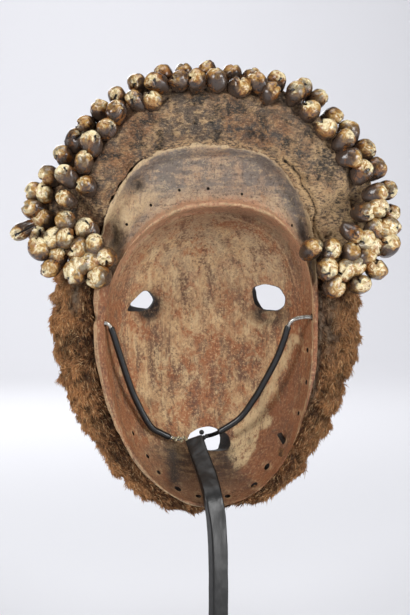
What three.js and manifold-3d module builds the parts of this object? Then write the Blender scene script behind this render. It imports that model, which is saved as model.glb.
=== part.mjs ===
// A carved wooden face mask of the Dan and Guere peoples, seen from its hollow side on its iron mount.
// Millimetres, +Z up. The origin is the middle of the foot's underside. The face looks along -Y, the hollow
// opens to +Y, and +X is the wearer's left.
import * as THREE from "three";
import { mergeVertices } from "three/addons/utils/BufferGeometryUtils.js";
import Module from "manifold-3d";

const wasm = await Module();
wasm.setup();

// Driving dimensions. A depth is measured from the rim's plane, towards the viewer, so it is mostly negative.
const GAP = 0.4;
const HUG = 0.5;
const RIM_Y = 40;
const FACE_Z = 282;
const WOOD = { halfWidth: 90.4, up: 145, upPower: 2.8, down: 147.6, downPower: 2, lean: -4, middle: 0 };
const HOLLOW = {
  halfWidth: 83.5, up: 94.4, upPower: 2.3, down: 144.8, downPower: 2.2, lean: -4, middle: -2.5,
};
const BOWL = { depth: 66, flatness: 3, steepness: 0.625 };
const FRONT = { edge: -16, depth: 62, flatness: 2.2, steepness: 0.62 };
const LEDGE = { channel: 14, lip: 3, ridge: 4, halfAngle: 58, fade: 16 };
const EYE = { left: 49, right: -57, z: 17 };
const MOUTH = { x: -6, z: -98 };
const BAND = { back: -1, swell: 4, front: -30 };
const TEMPLE = { start: 55, leftEnd: 67, rightEnd: 71, narrow: 20, back: -12, dipFrom: 41, dipTo: 48 };
const SHELL = { radial: 9.2, tangential: 8.4, depth: 5.8, spacing: 15.3, zigzag: 1 };
const FRONT_ROW = { middle: -9, halfWidth: 133, up: 197.5, power: 2.5, y: -1, lowest: 108 };
const REAR_ROW = { middle: -7.5, halfWidth: 157, up: 205, power: 2.1, y: -17, lowest: 84 };
const BEARD = {
  left: 33, right: 37, chin: 9.5, leftStart: 70, rightStart: 74, fullUntil: 90, thinAt: 178,
  locks: 40, lockDepth: 0.07, back: -13, front: -32, slack: 7,
};
const BAR = { width: 15, thick: 7 };
const ROD = { radius: 1.7, sides: 6 };
const SLEEVE = { inner: 2.35, outer: 2.8, sides: 8 };
const FOOT = { side: 160, thick: 8, corner: 3, edge: 1 };

const radians = THREE.MathUtils.degToRad;
const mix = THREE.MathUtils.lerp;
const smooth = THREE.MathUtils.smoothstep;

// A point in the mask's own terms: across, depth from the rim's plane, and height over the face's middle.
const onMask = (x, depth, z) => new THREE.Vector3(x, RIM_Y + depth, FACE_Z + z);

// The distance to a superellipse in the direction that lies an angle round from straight up towards +X.
function reach(shape, angle) {
  const s = Math.abs(Math.sin(angle));
  const c = Math.abs(Math.cos(angle));
  const above = Math.cos(angle) > 0;
  const power = above ? shape.upPower : shape.downPower;
  const height = above ? shape.up : shape.down;
  return ((s / shape.halfWidth) ** power + (c / height) ** power) ** (-1 / power);
}

// The outline leans a little to one side towards the forehead and towards the chin.
const leanAt = (shape, z) => shape.lean * (Math.abs(z) / shape.down) ** 1.5;

// Across and height of an outline's point, at a share of the way out from its middle.
function outline(shape, angle, share = 1) {
  const r = share * reach(shape, angle);
  const z = r * Math.cos(angle);
  return [shape.middle + r * Math.sin(angle) + leanAt(shape, z), z];
}

function middleOf(points) {
  const sum = new THREE.Vector3();
  points.forEach((point) => sum.add(point));
  return sum.divideScalar(points.length);
}

// A closed skin over rings of points. A ring of one point is a pole, and open ends get a fan from their
// middle, unless the rings run round and join up again.
function skin(rings, joinsUp = false) {
  const first = rings[0];
  const last = rings[rings.length - 1];
  const start = joinsUp || first.length === 1 ? [] : [[middleOf(first)]];
  const end = joinsUp || last.length === 1 ? [] : [[middleOf(last)]];
  const all = [...start, ...rings, ...end];
  const points = [];
  const starts = all.map((ring) => points.push(...ring) - ring.length);
  const faces = [];
  for (let i = 1; i < all.length; i++) {
    const [a, b] = [starts[i - 1], starts[i]];
    const [inA, inB] = [all[i - 1].length, all[i].length];
    const n = Math.max(inA, inB);
    for (let k = 0; k < n; k++) {
      const next = (k + 1) % n;
      if (inB > 1) faces.push([a + (inA > 1 ? k : 0), b + k, b + next]);
      if (inA > 1) faces.push([a + k, b + (inB > 1 ? next : 0), a + next]);
    }
  }
  const signed = faces.reduce((sum, [a, b, c]) => {
    return sum + points[a].dot(new THREE.Vector3().crossVectors(points[b], points[c]));
  }, 0);
  const geometry = new THREE.BufferGeometry().setFromPoints(points);
  return geometry.setIndex(faces.flatMap(([a, b, c]) => (signed > 0 ? [a, b, c] : [a, c, b])));
}

function toSolid(geometry) {
  const bare = new THREE.BufferGeometry();
  bare.setAttribute("position", geometry.getAttribute("position"));
  bare.setIndex(geometry.index);
  const merged = mergeVertices(bare, 1e-4);
  const vertProperties = new Float32Array(merged.attributes.position.array);
  const triVerts = new Uint32Array(merged.index.array);
  return new wasm.Manifold(new wasm.Mesh({ numProp: 3, vertProperties, triVerts }));
}

function toGeometry(solid) {
  const mesh = solid.getMesh();
  const geometry = new THREE.BufferGeometry();
  geometry.setAttribute("position", new THREE.BufferAttribute(mesh.vertProperties, 3));
  geometry.setIndex(new THREE.BufferAttribute(mesh.triVerts, 1));
  geometry.computeVertexNormals();
  return geometry;
}

const joined = (solids) => solids.reduce((sum, solid) => sum.add(solid));

const root = new THREE.Group();

function addMesh(name, geometry, material) {
  const mesh = new THREE.Mesh(geometry, material);
  mesh.name = name;
  root.add(mesh);
}

const carvedWood = new THREE.MeshStandardMaterial({ color: 0x8a6844, roughness: 0.7 });
const bandHide = new THREE.MeshStandardMaterial({ color: 0x5b4f43, roughness: 0.95 });
const cowrieShell = new THREE.MeshStandardMaterial({ color: 0xcdb584, roughness: 0.3 });
const goatHair = new THREE.MeshStandardMaterial({ color: 0x77522f, roughness: 0.95 });
const blackIron = new THREE.MeshStandardMaterial({ color: 0x232323, roughness: 0.5, metalness: 0.6 });
const blackSleeve = new THREE.MeshStandardMaterial({ color: 0x151515, roughness: 0.6 });
const bareSteel = new THREE.MeshStandardMaterial({ color: 0xb9bcc0, roughness: 0.3, metalness: 1 });

// The carved block: the hollow, its rim, the forehead's ledge above it, the outer wall and the face.
const SECTORS = 36;
const sectorAngle = (k) => (2 * Math.PI * k) / SECTORS;
const signedDegrees = (angle) => THREE.MathUtils.radToDeg(Math.atan2(Math.sin(angle), Math.cos(angle)));

// 1 above the hollow, where the ledge is carved, and 0 round the sides and chin, where there is only a rim.
const ledgeShare = (angle) => {
  const degrees = Math.abs(signedDegrees(angle));
  return 1 - smooth(degrees, LEDGE.halfAngle, LEDGE.halfAngle + LEDGE.fade);
};

const bowlDepth = (share) => -BOWL.depth * (1 - share ** BOWL.flatness) ** BOWL.steepness;
const frontDepth = (share) => FRONT.edge - FRONT.depth * (1 - share ** FRONT.flatness) ** FRONT.steepness;

// The other way round: how far out the front wall lies at a depth, as a share of the outline.
const frontShare = (depth) => {
  const fallen = Math.max(FRONT.edge - depth, 0) / FRONT.depth;
  return (1 - fallen ** (1 / FRONT.steepness)) ** (1 / FRONT.flatness);
};

function ring(pointAt) {
  return Array.from({ length: SECTORS }, (_, k) => pointAt(sectorAngle(k)));
}

const bowlRing = (share) => ring((angle) => {
  const [x, z] = outline(HOLLOW, angle, share);
  return onMask(x, bowlDepth(share) - LEDGE.ridge * ledgeShare(angle) * share ** 4, z);
});

// The ledge runs from the hollow's edge out to the wood's outline, with a hollow channel along its middle.
const ledgeRing = (across, channel, lip) => ring((angle) => {
  const [innerX, innerZ] = outline(HOLLOW, angle);
  const [outerX, outerZ] = outline(WOOD, angle);
  const depth = -ledgeShare(angle) * (LEDGE.channel * channel + LEDGE.lip * lip);
  return onMask(mix(innerX, outerX, across), depth, mix(innerZ, outerZ, across));
});

const frontRing = (share) => ring((angle) => {
  const [x, z] = outline(WOOD, angle, share);
  return onMask(x, frontDepth(share), z);
});

// The rings lie closer together towards the edges, where both walls turn steep.
const BOWL_SHARES = [0.2, 0.4, 0.57, 0.71, 0.82, 0.9, 0.96, 1];
const FRONT_SHARES = [0.985, 0.93, 0.84, 0.72, 0.57, 0.4, 0.2];
const block = toSolid(
  skin([
    [onMask(HOLLOW.middle, -BOWL.depth, 0)],
    ...BOWL_SHARES.map(bowlRing),
    ledgeRing(0.15, 0.15, 0),
    ledgeRing(0.4, 0.9, 0),
    ledgeRing(0.7, 1, 0),
    ledgeRing(0.92, 0.3, 1),
    ledgeRing(1, 0, 1.6),
    ...FRONT_SHARES.map(frontRing),
    [onMask(0, frontDepth(0), 0)],
  ]),
);

// The face on the front, plain and calm: a nose, one brow ridge, round rims about the eyes, and full lips.
const FACE_MIDDLE = -3;
const OUT = new THREE.Vector3(0, -1, 0);

const facePoint = (x, z) => {
  const share = Math.min(Math.hypot(x, z) / reach(WOOD, Math.atan2(x, z)), 1);
  return onMask(FACE_MIDDLE + x, frontDepth(share), z);
};

const faceNormal = (x, z) => {
  const across = facePoint(x + 1, z).sub(facePoint(x - 1, z));
  const upwards = facePoint(x, z + 1).sub(facePoint(x, z - 1));
  return new THREE.Vector3().crossVectors(across, upwards).normalize();
};

// A ridge along the face's surface: half its section stands proud and half lies in the wood.
function ridge(path, sides) {
  const rings = path.map(([x, z, halfWidth, proud], i) => {
    const here = facePoint(x, z);
    const before = path[Math.max(i - 1, 0)];
    const after = path[Math.min(i + 1, path.length - 1)];
    const along = facePoint(after[0], after[1]).sub(facePoint(before[0], before[1])).normalize();
    const out = faceNormal(x, z);
    const side = new THREE.Vector3().crossVectors(out, along).normalize();
    return Array.from({ length: sides }, (_, k) => {
      const turn = (2 * Math.PI * k) / sides;
      const across = side.clone().multiplyScalar(halfWidth * Math.cos(turn));
      return here.clone().add(across).addScaledVector(out, proud * Math.sin(turn));
    });
  });
  return toSolid(skin(rings));
}

// The nose from its root to its tip: across, height, half width, and how far it stands proud.
const NOSE = [
  [0, 40, 5, 5],
  [0, 20, 7, 10],
  [0, -5, 10, 15],
  [0, -30, 15, 21],
  [0, -42, 18, 20],
  [0, -50, 13, 8],
];
const BROW = { steps: 8, halfSpan: 65, low: 26, rise: 14, peak: 0.55, halfWidth: 6, proud: 6 };
const brow = Array.from({ length: BROW.steps + 1 }, (_, i) => {
  const across = (2 * i) / BROW.steps - 1;
  const rise = 1 - Math.abs(Math.abs(across) - BROW.peak) * 1.2;
  return [BROW.halfSpan * across, BROW.low + BROW.rise * rise, BROW.halfWidth, BROW.proud];
});

// A rounded rim about an opening, square to the face there, and standing out from it by a part of its bead.
function rim(x, z, { halfWidth, halfHeight, bead, sides, steps, proud }) {
  const torus = new THREE.TorusGeometry(1, bead / halfWidth, steps, sides);
  torus.scale(halfWidth, halfHeight, halfWidth);
  const normal = faceNormal(x - FACE_MIDDLE, z);
  const middle = facePoint(x - FACE_MIDDLE, z).addScaledVector(normal, proud);
  const sideways = new THREE.Vector3(0, 0, 1).cross(normal).normalize();
  const upwards = new THREE.Vector3().crossVectors(normal, sideways);
  torus.applyMatrix4(new THREE.Matrix4().makeBasis(sideways, upwards, normal).setPosition(middle));
  return toSolid(torus);
}

// An opening's cutter, from its outline in the hollow to its outline on the face, run on past both.
function tunnel(sides, inner, outer) {
  const oval = ({ x, z, halfWidth, halfHeight, depth }) =>
    Array.from({ length: sides }, (_, k) => {
      const turn = (2 * Math.PI * (k + 0.5)) / sides;
      return onMask(x + halfWidth * Math.cos(turn), depth, z + halfHeight * Math.sin(turn));
    });
  return toSolid(skin([oval(inner), oval(outer)]));
}

const LIPS = { halfWidth: 25, halfHeight: 17, bead: 9.5, sides: 14, steps: 6, proud: 5 };
const EYE_RIM = { halfWidth: 19, halfHeight: 17, bead: 4.5, sides: 12, steps: 5, proud: 0.5 };
const features = [
  ridge(NOSE, 6),
  ridge(brow, 6),
  rim(MOUTH.x + 3, MOUTH.z + 2, LIPS),
  rim(EYE.left, EYE.z, EYE_RIM),
  rim(EYE.right, EYE.z, EYE_RIM),
];

// What fills the hollow, a little deeper than it, keeps the face's carving out of it.
const BOWL_SPARE = 3;
const FILL_SHARES = [0.4, 0.7, 0.9, 1];
const bowlFill = toSolid(
  skin([
    [onMask(HOLLOW.middle, -BOWL.depth - BOWL_SPARE, 0)],
    ...FILL_SHARES.map((share) =>
      ring((angle) => {
        const [x, z] = outline(HOLLOW, angle, share);
        return onMask(x, bowlDepth(share) - BOWL_SPARE, z);
      })),
    [onMask(HOLLOW.middle, BOWL_SPARE, 0)],
  ]),
);

// The eyes' holes are wide in the hollow and narrow on the face; the mouth's keeps its size and drifts aside.
const EYE_HOLE = { sides: 10, inside: -36, outside: -84 };
const MOUTH_HOLE = {
  sides: 12, inside: -30, outside: -110, halfWidth: 16.4, halfHeight: 9.8, start: 2.8, shift: 8.4,
};
const openings = [
  tunnel(
    MOUTH_HOLE.sides,
    { ...MOUTH_HOLE, x: MOUTH.x - MOUTH_HOLE.start, z: MOUTH.z, depth: MOUTH_HOLE.inside },
    { ...MOUTH_HOLE, x: MOUTH.x + MOUTH_HOLE.shift, z: MOUTH.z, depth: MOUTH_HOLE.outside },
  ),
  tunnel(
    EYE_HOLE.sides,
    { x: EYE.left - 1, z: EYE.z - 1, halfWidth: 18, halfHeight: 14, depth: EYE_HOLE.inside },
    { x: EYE.left, z: EYE.z + 1, halfWidth: 7, halfHeight: 6.5, depth: EYE_HOLE.outside },
  ),
  tunnel(
    EYE_HOLE.sides,
    { x: EYE.right + 2, z: EYE.z - 1, halfWidth: 17, halfHeight: 16, depth: EYE_HOLE.inside },
    { x: EYE.right - 9, z: EYE.z + 4, halfWidth: 9, halfHeight: 9, depth: EYE_HOLE.outside },
  ),
];

// The two holes through the rim's sides that the mount's hooks go into.
const HOOK_HOLE = { radius: 3.2, sides: 8, length: 40, outwards: 8 };
const HOOK = { left: [79, -6.4, 1.2], right: [-80.6, -6, 5.7] };
const hookHoles = [HOOK.left, HOOK.right].map(([x, depth, z]) => {
  const { radius, length, sides } = HOOK_HOLE;
  const drill = new THREE.CylinderGeometry(radius, radius, length, sides);
  drill.rotateZ(Math.PI / 2);
  const at = onMask(x + HOOK_HOLE.outwards * Math.sign(x), depth, z);
  drill.translate(at.x, at.y, at.z);
  return toSolid(drill);
});

const carving = joined(features).subtract(bowlFill);
addMesh("mask", toGeometry(block.add(carving).subtract(joined([...openings, ...hookHoles]))), carvedWood);

// The headband: a thick crescent of hide packed round the wood's top, which flares out towards the face side.
// An arch is a superellipse's top, and its distance is measured from the arch's own middle.
const archPoint = (arch, angle, inset = 0) => {
  const s = Math.abs(Math.sin(angle)) / arch.halfWidth;
  const c = Math.cos(angle) / arch.up;
  const r = (s ** arch.power + c ** arch.power) ** (-1 / arch.power) - inset;
  return [arch.middle + r * Math.sin(angle), r * Math.cos(angle)];
};

// A point just off the wood's outer wall, or further out from it, at a depth.
const woodPoint = (angle, away, depth = 0) =>
  outline(WOOD, angle, frontShare(depth) + away / reach(WOOD, angle));

// 0 along the arch and 1 at a temple's lower end.
const templeShare = (angle, end) => smooth(Math.abs(angle), radians(TEMPLE.start), radians(end));

function bandSection(angle) {
  const end = angle > 0 ? TEMPLE.leftEnd : TEMPLE.rightEnd;
  const taper = templeShare(angle, end);
  const low = smooth(Math.abs(angle), radians(TEMPLE.dipFrom), radians(TEMPLE.dipTo));
  const back = mix(BAND.back, TEMPLE.back, low);
  const narrow = woodPoint(angle, TEMPLE.narrow);
  const edge = (arch, inset) => {
    const [x, z] = archPoint(arch, angle, inset);
    return [mix(x, narrow[0], taper), mix(z, narrow[1], taper)];
  };
  const inner = woodPoint(angle, HUG);
  const frontEdge = BAND.front + 6;
  const innerFront = woodPoint(angle, HUG, frontEdge);
  const under = SHELL.radial + 4 * GAP;
  const near = edge(FRONT_ROW, under);
  const far = edge(REAR_ROW, under);
  const lumps = 1.2 * Math.sin(9 * angle) + 0.8 * Math.sin(23 * angle);
  const swell = (1 - low) * (BAND.swell + lumps);
  const between = (a, b, share) => [mix(a[0], b[0], share), mix(a[1], b[1], share)];
  const places = [
    [inner, back - 2],
    [between(inner, near, 0.4), back + swell],
    [between(inner, near, 0.85), back + 0.4 * swell],
    [near, back - 4],
    [far, REAR_ROW.y],
    [between(inner, far, 0.98), BAND.front],
    [between(inner, far, 0.45), BAND.front + 2],
    [innerFront, frontEdge],
  ];
  return places.map(([[x, z], depth]) => onMask(x, depth, z));
}

const BAND_STEPS = 40;
const bandSections = Array.from({ length: BAND_STEPS + 1 }, (_, i) =>
  bandSection(radians(mix(-TEMPLE.rightEnd, TEMPLE.leftEnd, i / BAND_STEPS))));
addMesh("headband", toGeometry(toSolid(skin(bandSections))), bandHide);

// The cowries: each a small ovoid, sewn side by side, so a string of them is one solid joined where they
// touch.
function cowrie(at, tangential, radial, [halfTangential, halfRadial, halfDepth]) {
  const shell = new THREE.OctahedronGeometry(1, 1);
  shell.scale(halfTangential, halfRadial, halfDepth);
  const through = new THREE.Vector3().crossVectors(tangential, radial);
  shell.applyMatrix4(new THREE.Matrix4().makeBasis(tangential, radial, through).setPosition(at));
  return toSolid(shell);
}

const ROW_PARTS = ["left_low", "left_high", "right_high", "right_low"];
const ARCH_SAMPLES = 60;
const ARCH_STEP = radians(0.5);

// Every other cowrie of a row sits a little further out.
function cowrieRow(name, row) {
  let from = 0;
  while (archPoint(row, from)[1] > row.lowest) from += ARCH_STEP;
  const path = new THREE.CatmullRomCurve3(
    Array.from({ length: ARCH_SAMPLES + 1 }, (_, i) => {
      const [x, z] = archPoint(row, mix(from, -from, i / ARCH_SAMPLES));
      return onMask(x, row.y, z);
    }),
  );
  const partLength = path.getLength() / ROW_PARTS.length;
  const run = partLength - 2 * SHELL.tangential - GAP;
  const count = Math.ceil(run / SHELL.spacing) + 1;
  ROW_PARTS.forEach((part, p) => {
    const shells = Array.from({ length: count }, (_, i) => {
      const along = p * partLength + SHELL.tangential + GAP / 2 + (run * i) / (count - 1);
      const share = along / path.getLength();
      const tangent = path.getTangentAt(share);
      const outwards = new THREE.Vector3().crossVectors(tangent, new THREE.Vector3(0, 1, 0)).normalize();
      const at = path.getPointAt(share).addScaledVector(outwards, i % 2 ? SHELL.zigzag : 0);
      return cowrie(at, tangent, outwards, [SHELL.tangential, SHELL.radial, SHELL.depth]);
    });
    addMesh(`${name}_${part}`, toGeometry(joined(shells)), cowrieShell);
  });
}

cowrieRow("cowries_near", FRONT_ROW);
cowrieRow("cowries_far", REAR_ROW);

// The patches of cowries at the temples, in rows across: height, innermost and outermost middle, and how
// many.
const TEMPLE_ROWS = {
  left: [
    [89, 112, 138, 3],
    [75, 98, 146, 4],
    [61, 91, 133, 4],
    [48, 85, 119, 3],
    [36, 88, 105, 2],
  ],
  right: [
    [89, -124, -149, 3],
    [75, -114, -147, 3],
    [61, -100, -148, 4],
    [47, -98, -137, 3],
    [33, -102, -121, 2],
  ],
};
const TEMPLE_SHELL = {
  halfHeight: 7.9, depth: 5.8, low: -2, high: 6.6, highAt: 86, lowAt: 126, overlap: 1.1,
};

// The innermost cowries lie over the edge of the wood, and the rest behind it on the headband's end.
const templeDepth = (x) =>
  mix(TEMPLE_SHELL.high, TEMPLE_SHELL.low, smooth(Math.abs(x), TEMPLE_SHELL.highAt, TEMPLE_SHELL.lowAt));

Object.entries(TEMPLE_ROWS).forEach(([side, rows]) => {
  const shells = rows.flatMap(([z, inner, outer, count]) => {
    const step = (outer - inner) / (count - 1);
    return Array.from({ length: count }, (_, i) => {
      const x = inner + step * i;
      const along = onMask(x - step / 2, templeDepth(x - step / 2), z);
      along.sub(onMask(x + step / 2, templeDepth(x + step / 2), z));
      const size = [(along.length() * TEMPLE_SHELL.overlap) / 2, TEMPLE_SHELL.halfHeight, TEMPLE_SHELL.depth];
      return cowrie(onMask(x, templeDepth(x), z), along.normalize(), new THREE.Vector3(0, 0, 1), size);
    });
  });
  addMesh(`cowries_temple_${side}`, toGeometry(joined(shells)), cowrieShell);
});

// The beard: a ruff of hide with its hair on, laced round the rim's lower half, wide at the sides and thin at
// the chin. Its outer edge breaks into locks.
function beardSection(angle, lock) {
  const degrees = Math.abs(signedDegrees(angle));
  const down = THREE.MathUtils.clamp((degrees - BEARD.fullUntil) / (BEARD.thinAt - BEARD.fullUntil), 0, 1);
  const side = signedDegrees(angle) > 0 ? BEARD.left : BEARD.right;
  const width = mix(side, BEARD.chin, down ** 1.3) * (1 + BEARD.lockDepth * lock);
  const innerFront = woodPoint(angle, HUG, BEARD.front + BEARD.slack);
  const places = [
    [woodPoint(angle, HUG), BEARD.back - 1],
    [woodPoint(angle, 0.4 * width), BEARD.back],
    [woodPoint(angle, 0.8 * width), BEARD.back - 3],
    [woodPoint(angle, width), BEARD.back - 11],
    [woodPoint(angle, 0.9 * width), BEARD.front],
    [innerFront, BEARD.front + 2],
  ];
  return places.map(([[x, z], depth]) => onMask(x, depth, z));
}

const beardSteps = 2 * BEARD.locks;
const beardSections = Array.from({ length: beardSteps + 1 }, (_, i) => {
  const angle = radians(mix(BEARD.leftStart, 360 - BEARD.rightStart, i / beardSteps));
  return beardSection(angle, i % 2 ? 1 : -1);
});
addMesh("beard", toGeometry(toSolid(skin(beardSections))), goatHair);

// The iron stand: a square foot, a flat bar forged to rise and lean into the hollow, and two arms.
const footSide = new THREE.Shape();
const cornerAt = FOOT.side / 2 - FOOT.edge - FOOT.corner;
[[1, 1], [-1, 1], [-1, -1], [1, -1]].forEach(([sx, sy], k) => {
  footSide.absarc(sx * cornerAt, sy * cornerAt, FOOT.corner, (k * Math.PI) / 2, ((k + 1) * Math.PI) / 2);
});
const foot = new THREE.ExtrudeGeometry(footSide, {
  depth: FOOT.thick - 2 * FOOT.edge,
  bevelThickness: FOOT.edge,
  bevelSize: FOOT.edge,
  bevelSegments: 1,
  curveSegments: 2,
});
foot.translate(0, 0, FOOT.edge);
addMesh("foot", toGeometry(toSolid(foot)), blackIron);

// The bar's middle line, from the foot up: across, depth, height, and how far its wide face is turned.
const BAR_PATH = [
  [-8.2, 13.5, FOOT.thick + GAP - FACE_Z, 32],
  [-8.3, 13.5, -205, 32],
  [-8.2, 13.3, -172.5, 30],
  [-6.8, 11.5, -153, 22],
  [-4.4, 4, -137, 9],
  [-1.4, -13, -123, -5],
  [3.5, -31, -107.6, -16],
  [6.6, -42, -96.6, -22],
];

// Sections of a bar along its path, each turned about the vertical and then set square to the path.
function barRings(path, halfWidth, halfThick) {
  const middles = path.map(([x, depth, z]) => onMask(x, depth, z));
  return path.map(([, , , turn], i) => {
    const before = middles[Math.max(i - 1, 0)];
    const after = middles[Math.min(i + 1, path.length - 1)];
    const along = after.clone().sub(before).normalize();
    const wide = new THREE.Vector3(-Math.cos(radians(turn)), -Math.sin(radians(turn)), 0);
    wide.addScaledVector(along, -wide.dot(along)).normalize();
    const thick = new THREE.Vector3().crossVectors(along, wide);
    const corners = [[1, 1], [-1, 1], [-1, -1], [1, -1]];
    return corners.map(([w, t]) =>
      middles[i].clone().addScaledVector(wide, w * halfWidth).addScaledVector(thick, t * halfThick));
  });
}
addMesh("post", toGeometry(toSolid(skin(barRings(BAR_PATH, BAR.width / 2, BAR.thick / 2)))), blackIron);

// The arms: round rod from the bar's top out to a hook in each side of the rim, in a black sleeve.
const ARM_PATHS = {
  left: [
    [15.2, -42, -97],
    [24, -41.5, -96],
    [33.5, -39.5, -91.8],
    [43.6, -36, -84.6],
    [55.2, -30, -63.1],
    [61.9, -24, -46.1],
    [70.2, -15, -20.7],
    [75, -9, -5.7],
    [79, -6.3, 1],
    [86.5, -6, 1.6],
  ],
  right: [
    [-2, -42, -95],
    [-9, -41.5, -93.4],
    [-16.6, -40, -89.6],
    [-31.2, -36, -79],
    [-42.2, -31, -63],
    [-47, -28, -54.4],
    [-58.8, -20, -30.1],
    [-64.4, -13, -13.3],
    [-68, -8.5, 0],
    [-73.2, -6.2, 4.3],
    [-80.6, -6, 5.7],
    [-88, -6, 5.7],
  ],
};
const ARM_STEPS = 13;
const SLEEVE_STEPS = { left: [1, 12], right: [1, 11] };

// Rings about the arm's curve, from one of its steps to another, so a rod and its sleeve bend alike.
function roundRings(curve, from, to, radius, sides) {
  return Array.from({ length: to - from + 1 }, (_, i) => {
    const share = (from + i) / ARM_STEPS;
    const at = curve.getPointAt(share);
    const along = curve.getTangentAt(share);
    const side = new THREE.Vector3().crossVectors(along, OUT).normalize();
    const up = new THREE.Vector3().crossVectors(side, along);
    return Array.from({ length: sides }, (_, k) => {
      const turn = (2 * Math.PI * k) / sides;
      const across = side.clone().multiplyScalar(radius * Math.cos(turn));
      return at.clone().add(across).addScaledVector(up, radius * Math.sin(turn));
    });
  });
}

Object.entries(ARM_PATHS).forEach(([side, path]) => {
  const points = path.map(([x, depth, z]) => onMask(x, depth, z));
  const curve = new THREE.CatmullRomCurve3(points, false, "centripetal");
  const rod = skin(roundRings(curve, 0, ARM_STEPS, ROD.radius, ROD.sides));
  addMesh(`arm_${side}`, toGeometry(toSolid(rod)), bareSteel);
  const [from, to] = SLEEVE_STEPS[side];
  const outside = roundRings(curve, from, to, SLEEVE.outer, SLEEVE.sides);
  const bore = roundRings(curve, from, to, SLEEVE.inner, SLEEVE.sides).reverse();
  addMesh(`sleeve_${side}`, toGeometry(toSolid(skin([...outside, ...bore, outside[0]], true))), blackSleeve);
});

export default root;
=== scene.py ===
import math

import bpy
import numpy as np
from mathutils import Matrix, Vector


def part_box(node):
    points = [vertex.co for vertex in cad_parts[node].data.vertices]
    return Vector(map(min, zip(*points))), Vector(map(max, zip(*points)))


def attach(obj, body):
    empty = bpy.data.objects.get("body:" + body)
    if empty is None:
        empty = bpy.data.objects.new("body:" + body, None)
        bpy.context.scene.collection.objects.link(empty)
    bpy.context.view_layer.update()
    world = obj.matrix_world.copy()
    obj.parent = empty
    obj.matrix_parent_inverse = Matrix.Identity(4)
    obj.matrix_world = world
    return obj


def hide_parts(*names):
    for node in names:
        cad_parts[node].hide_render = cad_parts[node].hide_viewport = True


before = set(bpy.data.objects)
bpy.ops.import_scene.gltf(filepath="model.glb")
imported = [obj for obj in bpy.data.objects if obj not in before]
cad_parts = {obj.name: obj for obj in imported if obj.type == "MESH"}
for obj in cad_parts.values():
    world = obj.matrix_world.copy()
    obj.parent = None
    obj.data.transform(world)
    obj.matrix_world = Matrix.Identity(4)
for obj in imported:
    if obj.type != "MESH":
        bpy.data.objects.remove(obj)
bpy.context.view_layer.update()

# The carved block
# One piece of light wood, hollowed from behind with an adze and a crooked knife. The hollow is worn from
# handling and darkened with soot and painted shade, its edge is rubbed pale, and a ledge over the forehead
# carried the headband's padding.
MM = 0.001
WOOD = dict(half_width=90.4, up=145.0, up_power=2.8, down=147.6, down_power=2.0, lean=-4.0, up_lean=-4.0,
            middle=0.0)
HOLLOW = dict(half_width=83.5, up=94.4, up_power=2.3, down=144.8, down_power=2.2, lean=-4.0, up_lean=-9.0,
              middle=-2.5)
RIM_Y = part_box("mask")[1].y / MM
FACE_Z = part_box("mask")[1].z / MM - WOOD["up"]
BOWL_DEPTH, BOWL_FLATNESS, BOWL_STEEPNESS = 66.0, 3.0, 0.625
FRONT_EDGE, FRONT_DEPTH, FRONT_FLATNESS, FRONT_STEEPNESS = -16.0, 62.0, 2.2, 0.62
SECTORS = 440
BOWL_ROWS, RIM_ROWS, WALL_ROWS, FRONT_ROWS = 104, 44, 10, 56


def to_metres(points):
    """Mask terms in mm (across, depth from the rim's plane, height over the face's middle) to the frame."""
    return (points + (0.0, RIM_Y, FACE_Z)) * MM


def smooth_step(value, low, high):
    """0 below low, 1 above high, and 3t^2 - 2t^3 between."""
    t = np.clip((value - low) / (high - low), 0.0, 1.0)
    return t * t * (3 - 2 * t)


def mix(a, b, share):
    """a + (b - a) * share."""
    return a + (b - a) * share


def bell(value, middle, width):
    """exp(-((value - middle) / width)^2)."""
    return np.exp(-(((value - middle) / width) ** 2))


def lumps(points, size, seed):
    """Value noise from -1 to 1: random numbers on a lattice of that spacing, blended by smooth steps."""
    table = np.random.default_rng(seed).uniform(-1, 1, (32, 32, 32))
    cell = points / size
    low = np.floor(cell).astype(int)
    part = smooth_step(cell - low, 0.0, 1.0)
    total = np.zeros(points.shape[:-1])
    for corner in np.ndindex(2, 2, 2):
        weight = np.prod(np.where(np.array(corner, bool), part, 1 - part), axis=-1)
        place = (low + corner) % 32
        total += weight * table[place[..., 0], place[..., 1], place[..., 2]]
    return total


def rough(points, size, seed, octaves=3):
    """Lumps of ever smaller size added up, each octave half as wide and half as high."""
    return sum(lumps(points, size / 2**i, seed + i) / 2**i for i in range(octaves))


def reach(shape, angle):
    """Distance from the middle to the outline: (|sin a / w|^p + |cos a / h|^p)^(-1/p)."""
    above = np.cos(angle) > 0
    power = np.where(above, shape["up_power"], shape["down_power"])
    height = np.where(above, shape["up"], shape["down"])
    s = np.abs(np.sin(angle)) / shape["half_width"]
    c = np.abs(np.cos(angle)) / height
    return (s**power + c**power) ** (-1 / power)


def lean_at(shape, z):
    """Sideways lean of the outline, growing as |z|^1.5 above and below the middle."""
    above = np.clip(z / shape["up"], 0, 1.5) ** 1.5
    return shape["up_lean"] * above + shape["lean"] * np.clip(-z / shape["down"], 0, 1.5) ** 1.5


def outline(shape, angle, share=1.0):
    """Across and height of the outline's point at an angle from straight up, at a share of the way out."""
    r = share * reach(shape, angle)
    z = r * np.cos(angle)
    return shape["middle"] + r * np.sin(angle) + lean_at(shape, z), z


def share_of(shape, x, z):
    """The share of the way out to the outline at which a point lies, and its angle."""
    across = x - shape["middle"] - lean_at(shape, z)
    angle = np.arctan2(across, z)
    return np.hypot(across, z) / reach(shape, angle), angle


def bowl_depth(share):
    """-D (1 - s^a)^b: flat in the middle and steep at the edge."""
    return -BOWL_DEPTH * (1 - np.clip(share, 0, 1) ** BOWL_FLATNESS) ** BOWL_STEEPNESS


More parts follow.
